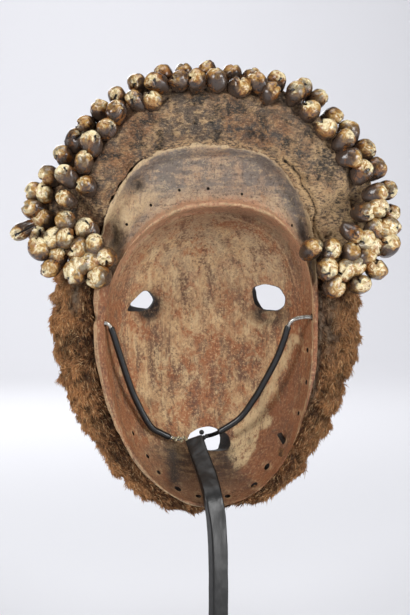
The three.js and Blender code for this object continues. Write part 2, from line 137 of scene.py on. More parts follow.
def front_depth(share):
    """The face's outer wall, in the same form as the hollow."""
    return FRONT_EDGE - FRONT_DEPTH * (1 - np.clip(share, 0, 1) ** FRONT_FLATNESS) ** FRONT_STEEPNESS


def front_share(depth):
    """The other way round: the share of the way out at which the outer wall lies at a depth."""
    fallen = np.maximum(FRONT_EDGE - depth, 0) / FRONT_DEPTH
    return (1 - fallen ** (1 / FRONT_STEEPNESS)) ** (1 / FRONT_FLATNESS)


def ledge_at(angle):
    """1 over the forehead, where the ledge is carved, and 0 round the sides and the chin."""
    degrees = np.degrees(np.abs(np.arctan2(np.sin(angle), np.cos(angle))))
    return 1 - smooth_step(degrees, 58, 74)


def facing(rings):
    """1 where the rings' quads face outwards and -1 where they face in: the sign of the volume inside."""
    p = rings - rings.mean((0, 1))
    a, b = p[:-1], p[1:]
    return np.sign(np.sum(np.cross(np.roll(a, -1, 1) - a, b - a) * a))


def normals(rings):
    """Outward unit normals of a ring surface: the cross product of the differences to its neighbours."""
    along = np.gradient(rings, axis=0)
    about = np.roll(rings, -1, 1) - np.roll(rings, 1, 1)
    n = facing(rings) * np.cross(about, along)
    return n / (np.linalg.norm(n, axis=-1, keepdims=True) + 1e-9)


def skin(rings):
    """Points and faces of a closed surface over rings[i, k]: quads between rings and a fan over each end."""
    count, around = rings.shape[:2]
    k = np.arange(around)
    turn = (k + 1) % around
    a = np.arange(count - 1)[:, None] * around
    b = a + around
    quads = np.stack([a + k, a + turn, b + turn, b + k], -1).reshape(-1, 4)
    middles = np.stack([rings[0].mean(0), rings[-1].mean(0)])
    points = np.concatenate([rings.reshape(-1, 3), middles])
    last = (count - 1) * around
    head = np.stack([turn, k, np.full(around, count * around)], -1)
    tail = np.stack([last + k, last + turn, np.full(around, count * around + 1)], -1)
    step = int(facing(rings))
    return points, quads[:, ::step].tolist() + np.concatenate([head, tail])[:, ::step].tolist()


def together(parts):
    """Several (points, faces) as one."""
    faces, start = [], 0
    for points, part_faces in parts:
        faces += [[i + start for i in face] for face in part_faces]
        start += len(points)
    return np.concatenate([points for points, _ in parts]), faces


def put(name, data):
    """A new object with this data, in the scene."""
    made = bpy.data.objects.new(name, data)
    bpy.context.scene.collection.objects.link(made)
    return made


def new_piece(name, points, faces):
    """A smooth-shaded object at the origin with its place in its mesh."""
    mesh = bpy.data.meshes.new(name)
    mesh.from_pydata(to_metres(points).tolist(), [], faces)
    mesh.shade_smooth()
    return put(name, mesh)


def points_of(piece):
    """The piece's vertices in mask terms."""
    flat = np.empty(len(piece.data.vertices) * 3, np.float32)
    piece.data.vertices.foreach_get("co", flat)
    return flat.reshape(-1, 3) / MM - (0.0, RIM_Y, FACE_Z)


def paint(piece, name, values):
    """Stores a number for each vertex under a name that the material reads."""
    layer = piece.data.attributes.new(name, "FLOAT", "POINT")
    layer.data.foreach_set("value", np.ascontiguousarray(values, np.float32))


def ledge_profile(across):
    """Depth over the ledge from the hollow's edge out: a ridge, a hollow channel and a raised lip."""
    knots = [(0, -3.4), (0.04, -0.2), (0.07, -0.5), (0.13, -6), (0.5, -12.6), (0.76, -13.4), (0.96, -4.2),
             (1, -4.0)]
    depth = np.full(across.shape, float(knots[0][1]))
    for (start, low), (end, high) in zip(knots, knots[1:]):
        depth += (high - low) * smooth_step(across, start, end)
    return depth


def step_share(x):
    """Share of the way out at which the hollow steps up to the wall under the ledge, less to the right."""
    return 0.945 - 0.045 * smooth_step(-x, 0, 50)


def ellipse_at(x, z, middle_x, middle_z, half_width, half_height):
    """1 on the ellipse, less inside it and more outside."""
    return np.hypot((x - middle_x) / half_width, (z - middle_z) / half_height)


def face_relief(x, z):
    """How far the face's features stand out: nose, brow ridge, rims about the eyes and full lips."""
    x = x + 3
    rises = [-56, -51, -44, -32, -5, 20, 40, 52]
    proud = np.interp(z, rises, [0, 10, 21, 21, 15, 10, 5, 0])
    half = np.interp(z, rises, [12, 14, 18, 15, 10, 7, 5, 4])
    nose = proud * np.exp(-(np.abs(x / (0.82 * half)) ** 2.6))
    wings = 4 * (bell(x, 14, 5) + bell(x, -14, 5)) * bell(z, -41, 8)
    across = np.abs(x) / 66
    line = 26 + 14 * (1 - 1.2 * np.abs(across - 0.55))
    brow = 6.5 * bell(z, line, 5.4) * (1 - smooth_step(across, 0.86, 1.06))
    lips = 13.5 * np.exp(-(np.abs((ellipse_at(x, z, 0, -96, 25, 17) - 1) / 0.42) ** 2.3))
    rims = sum(5 * bell(ellipse_at(x - 3, z, eye, 17, 19, 17), 1, 0.24) for eye in (49, -57))
    cheeks = 3 * sum(bell(x, side * 40, 17) * bell(z, -34, 20) for side in (-1, 1))
    return np.maximum.reduce([nose + wings, brow, lips, rims, cheeks])


angle = np.linspace(0, 2 * np.pi, SECTORS, endpoint=False)
ledge = ledge_at(angle)

bowl_share = 1 - (1 - np.linspace(0.01, 1, BOWL_ROWS)[:, None]) ** 1.7
bowl_x, bowl_z = outline(HOLLOW, angle, bowl_share)
# The edge is rounded over: a little on the right and at the chin, as a fat roll on the left.
left_side = smooth_step(np.sin(angle), 0.2, 0.8) * (1 - ledge)
edge_drop = mix(mix(2.2, 4.2, left_side), 3.4, ledge)
bowl_y = bowl_depth(bowl_share) - edge_drop * bowl_share**6

across = np.linspace(0.03, 1, RIM_ROWS)[:, None]
inner_x, inner_z = outline(HOLLOW, angle)
outer_x, outer_z = outline(WOOD, angle)
rim_depth = -mix(1.3, 1.9, left_side) * across ** mix(9, 5, left_side)
rim_depth = rim_depth - edge_drop * (1 - across) ** mix(5, 3, left_side)
ledge_x = mix(inner_x, outer_x, across)
ledge_z = mix(inner_z, outer_z, across)
ledge_y = mix(rim_depth, ledge_profile(across), ledge)

WALL_END, WALL_SHARE = -23.4, 0.985
fallen = np.linspace(0.08, 0.95, WALL_ROWS)[:, None]
wall_y = mix(ledge_y[-1], WALL_END, fallen)
wall_x, wall_z = outline(WOOD, angle, 1 - (1 - WALL_SHARE) * wall_y / WALL_END)

front = WALL_SHARE * np.cos(np.pi / 2 * np.linspace(0, 0.99, FRONT_ROWS)[:, None]) ** 0.9
front_x, front_z = outline(WOOD, angle, front)
front_y = np.broadcast_to(front_depth(front), front_x.shape)

block = np.concatenate([
    np.stack([bowl_x, bowl_y, bowl_z], -1),
    np.stack([ledge_x, ledge_y, ledge_z], -1),
    np.stack([wall_x, wall_y, wall_z], -1),
    np.stack([front_x, front_y, front_z], -1),
])
rows = np.arange(len(block))[:, None]
rim_start, rim_end = BOWL_ROWS, BOWL_ROWS + RIM_ROWS
front_start = rim_end + WALL_ROWS
in_bowl = 1 - smooth_step(rows, rim_start - 6, rim_start + 1)
on_rim = smooth_step(rows, rim_start - 4, rim_start + 4) * (1 - smooth_step(rows, rim_end - 2, rim_end + 4))
on_front = smooth_step(rows, front_start + 4, front_start + 14)

# The ledge's outer edge is split and ragged, so it wanders in and out.
outwards = block * (1, 0, 1) / np.linalg.norm(block * (1, 0, 1) + (1e-9, 0, 0), axis=-1, keepdims=True)
ragged = ledge * bell(rows, rim_end + 2, 7) * (1.1 * rough(block * (1, 0, 1), 8, 22))
block = block + outwards * ragged[..., None]
bx, bz = block[..., 0], block[..., 2]
gouges = 0.55 * lumps(block * (1, 0.3, 0.3), 9, 11) + 0.3 * lumps(block * (1, 0.3, 0.35), 4.5, 12)
chin_gouges = 0.75 * lumps(block * (0.25, 0.3, 1), 5.5, 13)
chin = smooth_step(-bz, 96, 112)
relief = 0.55 * rough(block, 26, 14)
relief += in_bowl * mix(gouges, chin_gouges, chin)
relief += on_rim * ledge * (0.7 * rough(block, 9, 15) + 0.4 * rough(block, 2.8, 16))
# A step above the hollow's floor, where the wall under the ledge begins.
step = step_share(bx)
bowl_out = np.concatenate([bowl_share, np.full((len(block) - BOWL_ROWS, 1), 1.0)])
stepped = smooth_step(bowl_out, step, step + 0.012) * (1 - smooth_step(bowl_out, 0.96, 1))
relief -= in_bowl * ledge * 1.2 * stepped
relief += (1 - on_front) * 0.12 * rough(block * (1, 1, 0.3), 2.4, 17)
relief += on_rim * (0.4 * rough(block, 11, 18) + 0.2 * rough(block * (1, 1, 0.25), 2.2, 21))
relief += ledge * bell(rows, rim_start + 3, 4) * 0.7 * rough(block, 3.5, 23)
relief += on_front * (face_relief(bx, bz) + 0.35 * lumps(block, 8, 19) + 0.12 * rough(block, 2.5, 20))

# Dents: two deep ones on the ledge, a scoop beside each eye and slips of the tool, as across, height, half
# width, half height and depth.
DENTS = [(74, 70, 8, 11, 7), (55, 112, 6, 5, 3), (-80, 74, 6, 7, 2), (42, 13, 9, 9.5, 6),
         (-57, 5, 13, 7, 4.5), (44.4, -67.4, 3.4, 3, 1.4), (-40.2, -99.4, 2, 3.4, 1.6),
         (-23.8, -106.2, 2.6, 2.2, 1.4), (90.5, 5.6, 4, 2.8, 2)]
for x, z, wide, high, deep in DENTS:
    relief -= (1 - on_front) * deep * bell(bx, x, wide) * bell(bz, z, high)
block = block + normals(block) * relief[..., None]


CUTTER_ROWS, STEPS_PER_EDGE, HOLE_SIDES = 30, 7, 14


def window(near, far, seed):
    """A cutter lofted from the outline in the hollow to the outline in the face, drawn on past both."""
    near, far = np.array(near, float), np.array(far, float)
    t = np.linspace(0, len(near), len(near) * STEPS_PER_EDGE, endpoint=False)
    i = t.astype(int)
    f = (t - i)[:, None]
    start, end = (mix(p[i], p[(i + 1) % len(p)], f) for p in (near, far))
    start, end = (mix(p, 0.5 * (np.roll(p, 2, 0) + np.roll(p, -2, 0)), 0.5) for p in (start, end))
    rings = mix(start, end, np.linspace(-1.1, 2.2, CUTTER_ROWS)[:, None, None])
    return skin(rings + normals(rings) * 0.3 * rough(rings, 6, seed, 2)[..., None])


def drill(start, direction, radius, length):
    """A round cutter from a point along a direction."""
    along = np.array(direction, float) / np.linalg.norm(direction)
    side = np.cross(along, (0, 1, 0.3))
    side /= np.linalg.norm(side)
    turn = np.linspace(0, 2 * np.pi, HOLE_SIDES, endpoint=False)[:, None]
    circle = radius * (np.cos(turn) * side + np.sin(turn) * np.cross(along, side))
    return skin(np.stack([start + circle, start + circle + along * length]))


# Each window's corners, first where it leaves the hollow and then where it meets the face.
LEFT_EYE = (
    [(63.1, -43.3, 8.6), (58.5, -47.4, 16.3), (48.2, -54, 25.6), (43.9, -56.5, 25.9), (36.7, -61, 19.4),
     (41, -60, 9.9), (49, -55.7, 6.8)],
    [(57.7, -66.3, 14.4), (57.7, -66.3, 15.8), (47.8, -71.5, 25), (43.5, -73.5, 24.9), (38.7, -75.7, 16.8),
     (44.3, -73.6, 10.1), (50.8, -70.4, 12.4)],
)
RIGHT_EYE = (
    [(-43.2, -59.5, 25.1), (-45.1, -58.1, 28.9), (-53.8, -52.7, 31.6), (-65.2, -43.5, 28.9),
     (-69.7, -40, 20.7), (-69.2, -41.8, 13.2), (-64.8, -47, 8.4), (-54.2, -55.6, 7.2), (-45.8, -59.7, 13.3)],
    [(-49.2, -71.1, 24.7), (-47.2, -72, 28.1), (-55.6, -67.4, 30.7), (-67.2, -59.1, 27.6),
     (-71.4, -55.4, 19.3), (-70.3, -56.5, 12.5), (-65, -61.2, 9), (-53.3, -69.1, 9.9), (-50.9, -70.4, 17.9)],
)
MOUTH = (
    [(11.9, -50.6, -98.8), (9.1, -53.5, -93.4), (1.4, -55.7, -89.5), (-7.9, -56.3, -88), (-15.4, -55, -90.4),
     (-24, -50.6, -95), (-25.6, -47.9, -100.8), (-23.6, -45.6, -106.3), (-14.6, -46.6, -108.3),
     (-2.1, -47.5, -107.4), (7.9, -47.9, -105.2)],
    [(10.8, -64.7, -100.6), (8, -67.5, -95.1), (0.2, -69.6, -91.1), (-9.2, -69.9, -89.6), (-15, -68.4, -92),
     (-16.2, -65.8, -97.7), (-16.6, -63.6, -102.5), (-16.9, -61.3, -108.2), (-10.1, -61.4, -109),
     (-3.4, -61.9, -108.5), (6.8, -62.1, -107.1)],
)
cutters = [window(*LEFT_EYE, seed=31), window(*RIGHT_EYE, seed=32), window(*MOUTH, seed=33)]
# The hooks of the stand's arms pass out through the rim on either side.
HOOK_HOLES = [((70, -6.4, 1.2), (1, 0, 0)), ((-72, -6, 5.7), (-1, 0, 0))]
HOOK_HOLE_RADIUS, HOOK_HOLE_LENGTH = 3.0, 34
cutters += [drill(start, way, HOOK_HOLE_RADIUS, HOOK_HOLE_LENGTH) for start, way in HOOK_HOLES]
# The holes in the lower rim that the beard was laced through: degrees, share of the way out, radius.
LACING = [(168.3, 0.962, 3.0), (175.3, 0.97, 2.5), (-175, 0.97, 2.5), (-165.4, 0.974, 3.1),
          (-158.6, 0.95, 2.7), (-147.9, 0.948, 2.2), (-135.3, 0.972, 1.7), (-121, 0.984, 2.0),
          (-105, 0.973, 2.0), (160.5, 0.952, 2.0), (154.7, 0.931, 1.9), (145.2, 0.929, 1.7)]
lacing_holes = []
for degrees, share, radius in LACING:
    turn = math.radians(degrees)
    x, z = outline(HOLLOW, np.array(turn), share)
    out = np.array((math.sin(turn), -0.35, math.cos(turn)))
    start = np.array((float(x), float(bowl_depth(np.array(share))), float(z))) - 6 * out
    cutters.append(drill(start, out, radius, 40))
    lacing_holes.append((float(x), float(z), radius))
# Finer ones over the forehead, bored a little way into the ledge's channel.
FOREHEAD_HOLES = [(62, 78), (43, 94), (20, 106), (-3, 107.5), (-30, 103.5), (-71, 78)]
for x, z in FOREHEAD_HOLES:
    cutters.append(drill((x, 0, z), (0.1, -1, 0.2), 1.1, 24))


def linear(hexes):
    """An sRGB hex colour as linear light: c / 12.92 below 0.04045, and ((c + 0.055) / 1.055)^2.4 above."""
    channels = [int(hexes[i : i + 2], 16) / 255 for i in (1, 3, 5)]
    return (*[c / 12.92 if c <= 0.04045 else ((c + 0.055) / 1.055) ** 2.4 for c in channels], 1.0)


def node(tree, kind, values=None, links=None, output=0, **settings):
    """Adds a shader node with its settings, its sockets' constants and its links, and returns one output."""
    made = tree.nodes.new("ShaderNode" + kind)
    for name, value in settings.items():
        setattr(made, name, value)
    for socket, value in (values or {}).items():
        made.inputs[socket].default_value = value
    for socket, source in (links or {}).items():
        tree.links.new(source, made.inputs[socket])
    return made.outputs[output]


def finish(name, patterns, coats, gloss, relief=None, sockets=None):
    """A material laid on in coats over a first colour.

    patterns: noise about 0.5, as the width of its lumps in mm, how it is squeezed across, in depth and up
    (below 1 draws it out), its detail, sharpness and warp. A name in place of these is how far that noise is
    from its middle, so 0 along wandering lines. Any other name in a mix is a number painted on the mesh.
    coats: colour, strength, the painted number that it follows or "", and a mix {name: weight} and values at
    which it starts and is full: cover = strength x painted x smooth step of the sum of weight x name. A list
    in place of a colour is coats again. gloss is the roughness, or a pattern with its roughness at 0 and 1.
    relief is the bump's strength, height in mm and mix. sockets are further constants of the shader.
    """
    material = bpy.data.materials.new(name)
    material.use_nodes = True
    tree = material.node_tree
    shader = tree.nodes["Principled BSDF"]
    place = node(tree, "TexCoord", output="Object")
    known = {}

    def value(label):
        """The output that a name in a mix stands for."""
        if label not in known:
            pattern = patterns.get(label)
            if pattern is None:
                known[label] = node(tree, "Attribute", output="Fac", attribute_name=label)
            elif isinstance(pattern, str):
                off = node(tree, "Math", {1: 0.5}, {0: value(pattern)}, operation="SUBTRACT")
                known[label] = node(tree, "Math", None, {0: off}, operation="ABSOLUTE")
            else:
                size, squeeze, detail, sharp, warp = pattern
                at = node(tree, "Mapping", {"Scale": squeeze}, {"Vector": place})
                form = {"Scale": 1 / (size * MM), "Detail": detail, "Roughness": sharp, "Distortion": warp}
                known[label] = node(tree, "TexNoise", form, {"Vector": at}, "Fac")
        return known[label]

    def total(weights):
        """The sum of weight x name."""
        added = None
        for label, weight in weights.items():
            links = {0: value(label)} if added is None else {0: value(label), 2: added}
            added = node(tree, "Math", {1: weight, 2: 0.0}, links, operation="MULTIPLY_ADD")
        return added

    def cover(strength, painted, weights=None, start=0.0, full=1.0):
        """How far a coat covers: strength x painted, and x smooth step of its mix if it has one."""
        if weights is None:
            return node(tree, "Math", {1: strength}, {0: value(painted)}, operation="MULTIPLY")
        steps = {"From Min": start, "From Max": full, "To Max": strength}
        shown = node(tree, "MapRange", steps, {"Value": total(weights)}, interpolation_type="SMOOTHSTEP")
        if painted:
            shown = node(tree, "Math", None, {0: shown, 1: value(painted)}, operation="MULTIPLY")
        return shown

    def laid_on(layers):
        """The first colour under each further coat in turn."""
        under = layers[0]
        for colour, *covering in layers[1:]:
            over = laid_on(colour) if isinstance(colour, list) else colour
            both = {6: under, 7: over}
            values = {socket: linear(c) for socket, c in both.items() if isinstance(c, str)}
            links = {socket: c for socket, c in both.items() if not isinstance(c, str)}
            under = node(tree, "Mix", values, {0: cover(*covering), **links}, 2, data_type="RGBA")
        return under

    if len(coats) > 1:
        tree.links.new(laid_on(coats), shader.inputs["Base Color"])
    else:
        shader.inputs["Base Color"].default_value = linear(coats[0])
    if isinstance(gloss, tuple):
        label, low, high = gloss
        dulled = node(tree, "MapRange", {"To Min": low, "To Max": high}, {"Value": value(label)})
        tree.links.new(dulled, shader.inputs["Roughness"])
    else:
        shader.inputs["Roughness"].default_value = gloss
    if relief:
        strength, height, weights = relief
        size = {"Strength": strength, "Distance": height * MM}
        tree.links.new(node(tree, "Bump", size, {"Height": total(weights)}), shader.inputs["Normal"])
    for socket, number in (sockets or {}).items():
        shader.inputs[socket].default_value = number
    return material


# Carved light wood with a brown handling patina: vertical grain, blotches, soot and rubbed edges, with
# painted shade, shadows and highlights.
carved_wood = finish("carved_light_wood", dict(
    clouds=(22, (1, 1, 0.5), 5, 0.6, 0.5),
    streaks=(8, (1, 1, 0.4), 5, 0.56, 0.4),
    bars=(10, (1, 1, 0.25), 4, 0.55, 0.3),
    stains=(10, (1, 1, 0.8), 6, 0.6, 0.6),
    veins=(3, (1, 1, 0.15), 6, 0.65, 0),
    speckle=(1.6, (1, 1, 0.7), 6, 0.7, 0),
    level=(4, (0.28, 1, 1), 7, 0.68, 0.2),
    pores=(0.9, (1, 1, 0.16), 3, 0.5, 0),
    grit=(1.7, (0.8, 1, 0.8), 4, 0.72, 0),
    scratches=(14, (0.35, 1, 1), 4, 0.55, 1.2),
    off_scratches="scratches",
), [
    # The hollow: tan, orange and dull brown patches drawn out down the grain, finely speckled.
    "#cba477",
    ("#74503a", 1, "", dict(clouds=1, veins=0.8, red=0.3), 0.84, 1.12),
    ("#e2c698", 0.7, "", dict(streaks=1, grit=0.45), 0.72, 0.9),
    ("#a5643a", 0.95, "", dict(stains=1, grit=0.35, red=0.2), 0.63, 0.82),
    # Pale dust over the chin, and painted light over the top of the hollow.
    ("#cbb18c", 0.8, "dust", dict(clouds=1, speckle=0.9), 0.8, 1.0),
    ("#6d4a36", 0.75, "", dict(bars=1, grit=0.4), 0.7, 0.53),
    ("#4f3426", 0.75, "", dict(veins=1, grit=1.2), 1.08, 0.8),
    ("#d9bb8c", 0.75, "", dict(grit=1, speckle=0.6), 0.8, 1.0),
    # The chin's cross cuts: grey-brown, with painted shade in the cuts and painted light on their tan
    # crests.
    ("#8a6d4f", 0.7, "gouged"),
    ("#43362a", 1, "gouged", dict(level=1, speckle=0.3), 0.76, 0.52),
    ("#b1956c", 0.8, "gouged", dict(level=1, speckle=0.3), 0.64, 0.84),
    # The ledge: grey and grimy under the headband's padding, tan where that rubbed, with scratches along it.
    ("#b89d80", 0.85, "ledge"),
    ("#6f5a47", 0.75, "ledge", dict(level=1, speckle=1.2), 1.08, 0.9),
    ("#9a6a45", 0.6, "ledge", dict(stains=1, speckle=0.8), 0.92, 1.04),
    ("#706c67", 0.88, "grey", dict(level=1, clouds=1.6, speckle=0.5), 1.86, 1.42),
    ("#4a3d33", 0.75, "ledge", dict(grit=1, level=0.5), 0.7, 0.58),
    ("#cbb390", 0.7, "ledge", dict(level=1, speckle=1, grit=0.5), 1.3, 1.5),
    ("#cbb793", 0.6, "ledge", dict(off_scratches=1), 0.008, 0.0),
    # Rubbed red-brown on the walls and the ridge, bare at the edges with painted highlights along the
    # ridge's crest and the rim's inner edge, black in the pores, and near black where soot and painted shade
    # lie.
    ("#6a4128", 0.55, "red"),
    ("#b17a5c", 0.8, "ridge", dict(grit=1, stains=0.6), 0.66, 0.86),
    ("#d3b88c", 1, "pale", dict(veins=1, speckle=0.8), 0.66, 0.96),
    ("#3a271b", 0.6, "", dict(pores=1), 0.4, 0.26),
    # Soot and painted shade and shadow, near black.
    ("#231911", 1, "soot", dict(speckle=1), 0.85, 0.45),
], gloss=("speckle", 0.38, 0.66), relief=(0.85, 0.8, dict(pores=1, speckle=1.4, veins=1.5)))

# The walls of the cuts: end grain, painted near black as the shade inside the eyes, the mouth and the holes.
end_grain_shade = finish("end_grain_painted_shade", dict(grain=(1.8, (1, 0.4, 1), 5, 0.65, 0)), [
    "#17100c",
    ("#3d2f25", 1, "", dict(grain=1), 0.45, 0.75),
], gloss=0.7, relief=(0.6, 0.5, dict(grain=1)))


def cut(piece, cutters, wall):
    """Takes the closed cutters out with one exact boolean; the walls of the cuts get their own material."""
    cutter = new_piece("cutter", *together(cutters))
    cutter.data.materials.append(wall)
    modifier = piece.modifiers.new("cut", "BOOLEAN")
    modifier.object = cutter
    modifier.operation = "DIFFERENCE"
    modifier.solver = "EXACT"
    modifier.material_mode = "TRANSFER"
    graph = bpy.context.evaluated_depsgraph_get()
    mesh = bpy.data.meshes.new_from_object(piece.evaluated_get(graph))
    piece.modifiers.clear()
    piece.data = mesh
    bpy.data.objects.remove(cutter)


def segment_gap(x, z, start, end):
    """Distance in the view from behind to the straight line between two points."""
    run = np.subtract(end, start)
    t = np.clip(((x - start[0]) * run[0] + (z - start[1]) * run[1]) / np.dot(run, run), 0, 1)
    return np.hypot(x - start[0] - t * run[0], z - start[1] - t * run[1])


wood = new_piece("mask_wood", *skin(block))
wood.data.materials.append(carved_wood)
cut(wood, cutters, end_grain_shade)
wood.data.set_sharp_from_angle(angle=math.radians(48))

p = points_of(wood)
x, depth, z = p.T
hollow_share, turn = share_of(HOLLOW, x, z)
wood_share, wood_turn = share_of(WOOD, x, z)
edge_gap = (1 - wood_share) * reach(WOOD, wood_turn)
is_ledge = ledge_at(turn)
floor_depth = bowl_depth(hollow_share)
middle_depth = 0.5 * (floor_depth + front_depth(wood_share))
behind = smooth_step(depth - middle_depth, -2, 2)
over = np.clip((hollow_share - 1) * reach(HOLLOW, turn) / (reach(WOOD, turn) - reach(HOLLOW, turn)), 0, 1)
outside = (hollow_share >= 1) * behind
on_ledge = is_ledge * outside
patch = rough(p, 24, 41)
fine_patch = rough(p, 7, 42)

# Red-brown where the wood is rubbed: the wall, the ridge under the ledge and most of the lower right.
steep = smooth_step(hollow_share, 0.72, 0.94) * (1 - 0.6 * outside)
ridge = smooth_step(hollow_share, 0.95, 0.97) * (1 - smooth_step(over + 0.02 * fine_patch, 0.1, 0.2))
ridge = ridge * is_ledge * behind
lower_right = smooth_step(-x, 10, 60) * smooth_step(-z, 30, 90) * smooth_step(hollow_share, 0.6, 0.95)
below_eyes = bell(x, 2, 14) * smooth_step(-z, -10, 40)
red = behind * (0.7 * steep + 0.15 * ridge + 0.9 * lower_right + 0.4 * below_eyes)
red += mix(0.3, 0.5, x > 40) * outside * (1 - is_ledge)
paint(wood, "red", np.clip(red + 0.25 * patch, 0, 1))
paint(wood, "ridge", ridge)

# Dust lies over the chin, and the top of the hollow is painted paler, as a painted light from above.
dust = 0.5 * smooth_step(-z, 92, 112) * smooth_step(x, -34, -20)
dust += 1.1 * smooth_step(z, 10, 60) * (1 - outside)
paint(wood, "dust", np.clip(behind * dust * (0.75 + 0.5 * patch), 0, 1))
gouged = smooth_step(-z, 96, 108) * (1 - smooth_step(hollow_share, 0.86, 0.97)) * smooth_step(x, -36, -24)
paint(wood, "gouged", behind * gouged)

# Bare wood: the rim's edges, the ledge's lip, a split down the lower right wall, a scratched V by the eye.
# Painted highlights: a pale line along the ridge's crest and along the rim's inner edge on the right.
left = smooth_step(turn, 0.3, 0.5)
lip = (1 - smooth_step(edge_gap + 1.4 * fine_patch, 2.2, 4.0)) * on_ledge
# Painted highlight along the rim's inner edge on the right.
inner_edge = 0.5 * bell(over, 0.0, 0.1) * (x < 0)
outer_edge = mix(0.7, 0.4, x > 40) * bell(over, 0.99, 0.06)
rim_edge = outside * (1 - is_ledge) * (inner_edge + outer_edge)
broad = segment_gap(x, z, (-31, -110), (-46, -80)) + 4 * fine_patch
narrow = segment_gap(x, z, (-46, -80), (-76, -14)) + 3 * fine_patch
bare = np.maximum(1 - smooth_step(broad, 8, 11), 0.8 * (1 - smooth_step(narrow, 2.5, 5)))
step = step_share(x)
SCRATCHES = [((-41, 0), (-48, -5)), ((-50, -5), (-62, 4))]
scratch = sum(bell(segment_gap(x, z, *ends), 0, 1.3) for ends in SCRATCHES)
# The lacing rubbed a pale ring about each of its holes.
rubbed = sum(bell(np.hypot(x - x0, 1.3 * (z - z0)), radius + 0.4, 0.7) for x0, z0, radius in lacing_holes)
pale = rim_edge + 0.65 * lip + 0.15 * ridge
# Painted highlight along the ridge's crest.
pale += 0.5 * bell(over + 0.012 * fine_patch, 0.045, 0.015) * on_ledge
pale += 0.35 * bell(hollow_share, step - 0.006, 0.006) * is_ledge * behind
pale += 0.9 * bare * behind + 1.0 * scratch * behind + 0.4 * rubbed * behind
low_left = left * (1 - smooth_step(z, 92, 118))
pale += 0.5 * low_left * smooth_step(over, 0.3, 0.55) * on_ledge * (1 - lip)
paint(wood, "pale", np.clip(pale, 0, 1))

# Soot and painted shade: painted shade on the steep wall under the ridge, in the dents, in the scoops beside
# the eyes and in the face's low places, painted shadows of the post on the chin, and a darker lower chin.
under_ridge = smooth_step(hollow_share, step, step + 0.01) * (1 - smooth_step(hollow_share, 0.98, 0.995))
# Painted shade on the steep wall under the ridge, most on the right.
soot = 0.3 * smooth_step(-x, 0, 45) * under_ridge * is_ledge * behind
# Darker over the lower chin by the post.
soot += 0.3 * smooth_step(-z, 98, 128) * smooth_step(x, -26, -4) * behind
# Painted shadows of the post on the chin, one to each side of it.
soot += 0.75 * behind * bell(segment_gap(x, z, (24, -101), (24, -128)), 0, 6)
soot += 0.5 * behind * bell(segment_gap(x, z, (-14, -106), (-33, -133)), 0, 8)
# Painted shade in the scoops beside the eyes, darkest beside the left eye.
soot += 0.9 * behind * np.exp(-(ellipse_at(x, z, 44, 12, 10, 11) ** 4))
soot += 0.35 * behind * np.exp(-(ellipse_at(x, z, -57, 8, 15, 9) ** 4))
# Painted shade in each dent, darker in the deeper ones.
for x0, z0, wide, high, deep in DENTS:
    soot += behind * min(0.3 * deep, 0.95) * bell(x, x0, wide) * bell(z, z0, high)
# Painted shade over the face: darker where its features are low, none on the raised ones.
in_front = mix(0.6, 0.0, smooth_step(face_relief(x, z) + fine_patch, 0.5, 6))
paint(wood, "soot", np.clip(np.maximum(soot, (1 - behind) * in_front), 0, 1))
paint(wood, "ledge", on_ledge * smooth_step(over + 0.02 * fine_patch, 0.06, 0.12))
grey = smooth_step(over + 0.12 * patch, 0.2, 0.42) * (1 - 0.8 * low_left * smooth_step(over, 0.25, 0.55))
paint(wood, "grey", on_ledge * (1 - lip) * grey)

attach(wood, "root")
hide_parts("mask")

# The headband
# A thick crescent of raw hide packed round the top of the block and flared to the front. It dried hard,
# cracked where it parts from the wood, and took up dust: its back is lumpy and pitted, paler along the wood.
HUG = 0.5
TEMPLE_START, LEFT_END, RIGHT_END, TEMPLE_NARROW, TEMPLE_BACK = 55.0, 67.0, 71.0, 20.0, -12.0
BAND_BACK, BAND_SWELL, BAND_FRONT = -1.0, 4.0, -30.0
NEAR_ROW = dict(middle=-9.0, half_width=133.0, up=197.5, power=2.5, y=-1.0, lowest=108.0)
FAR_ROW = dict(middle=-7.5, half_width=157.0, up=205.0, power=2.1, y=-17.0, lowest=84.0)
UNDER_NEAR, UNDER_FAR = 10.8, 5.0
BAND_STEPS, BAND_SIDES = 400, 170


def arch_point(arch, angle, inset=0.0):
    """Across and height of a point on a row's arch, the top of a superellipse about its own middle."""
    s = np.abs(np.sin(angle)) / arch["half_width"]
    c = np.cos(angle) / arch["up"]
    r = (s ** arch["power"] + c ** arch["power"]) ** (-1 / arch["power"]) - inset
    return np.stack([arch["middle"] + r * np.sin(angle), r * np.cos(angle)], -1)


def wood_point(angle, away, depth=0.0):
    """Across and height of a point that lies off the wood's outer wall at a depth."""
    share = front_share(np.asarray(depth, float)) + away / reach(WOOD, angle)
    return np.stack(outline(WOOD, angle, share), -1)


def off_wood(x, z):
    """How far outside the block's outline a point lies in the view from behind, and its angle."""
    share, turn = share_of(WOOD, x, z)
    return (share - 1) * reach(WOOD, turn), turn


def spline(p0, p1, p2, p3, f):
    """The cubic from p1 at f = 0, running along p2 - p0, to p2 at f = 1, running along p3 - p1."""
    return p1 + 0.5 * f * (p2 - p0 + f * (2 * p0 - 5 * p1 + 4 * p2 - p3 + f * (3 * (p1 - p2) + p3 - p0)))


def closed_curve(places, samples):
    """At each angle a closed curve of such cubics through places, which are (across, height) and depth."""
    points = np.stack([np.insert(at, 1, depth, -1) for at, depth in places], 1)
    t = np.linspace(0, len(places), samples, endpoint=False)
    i = t.astype(int)
    corners = (points[:, (i + shift) % len(places)] for shift in (-1, 0, 1, 2))
    return spline(*corners, (t - i)[:, None])


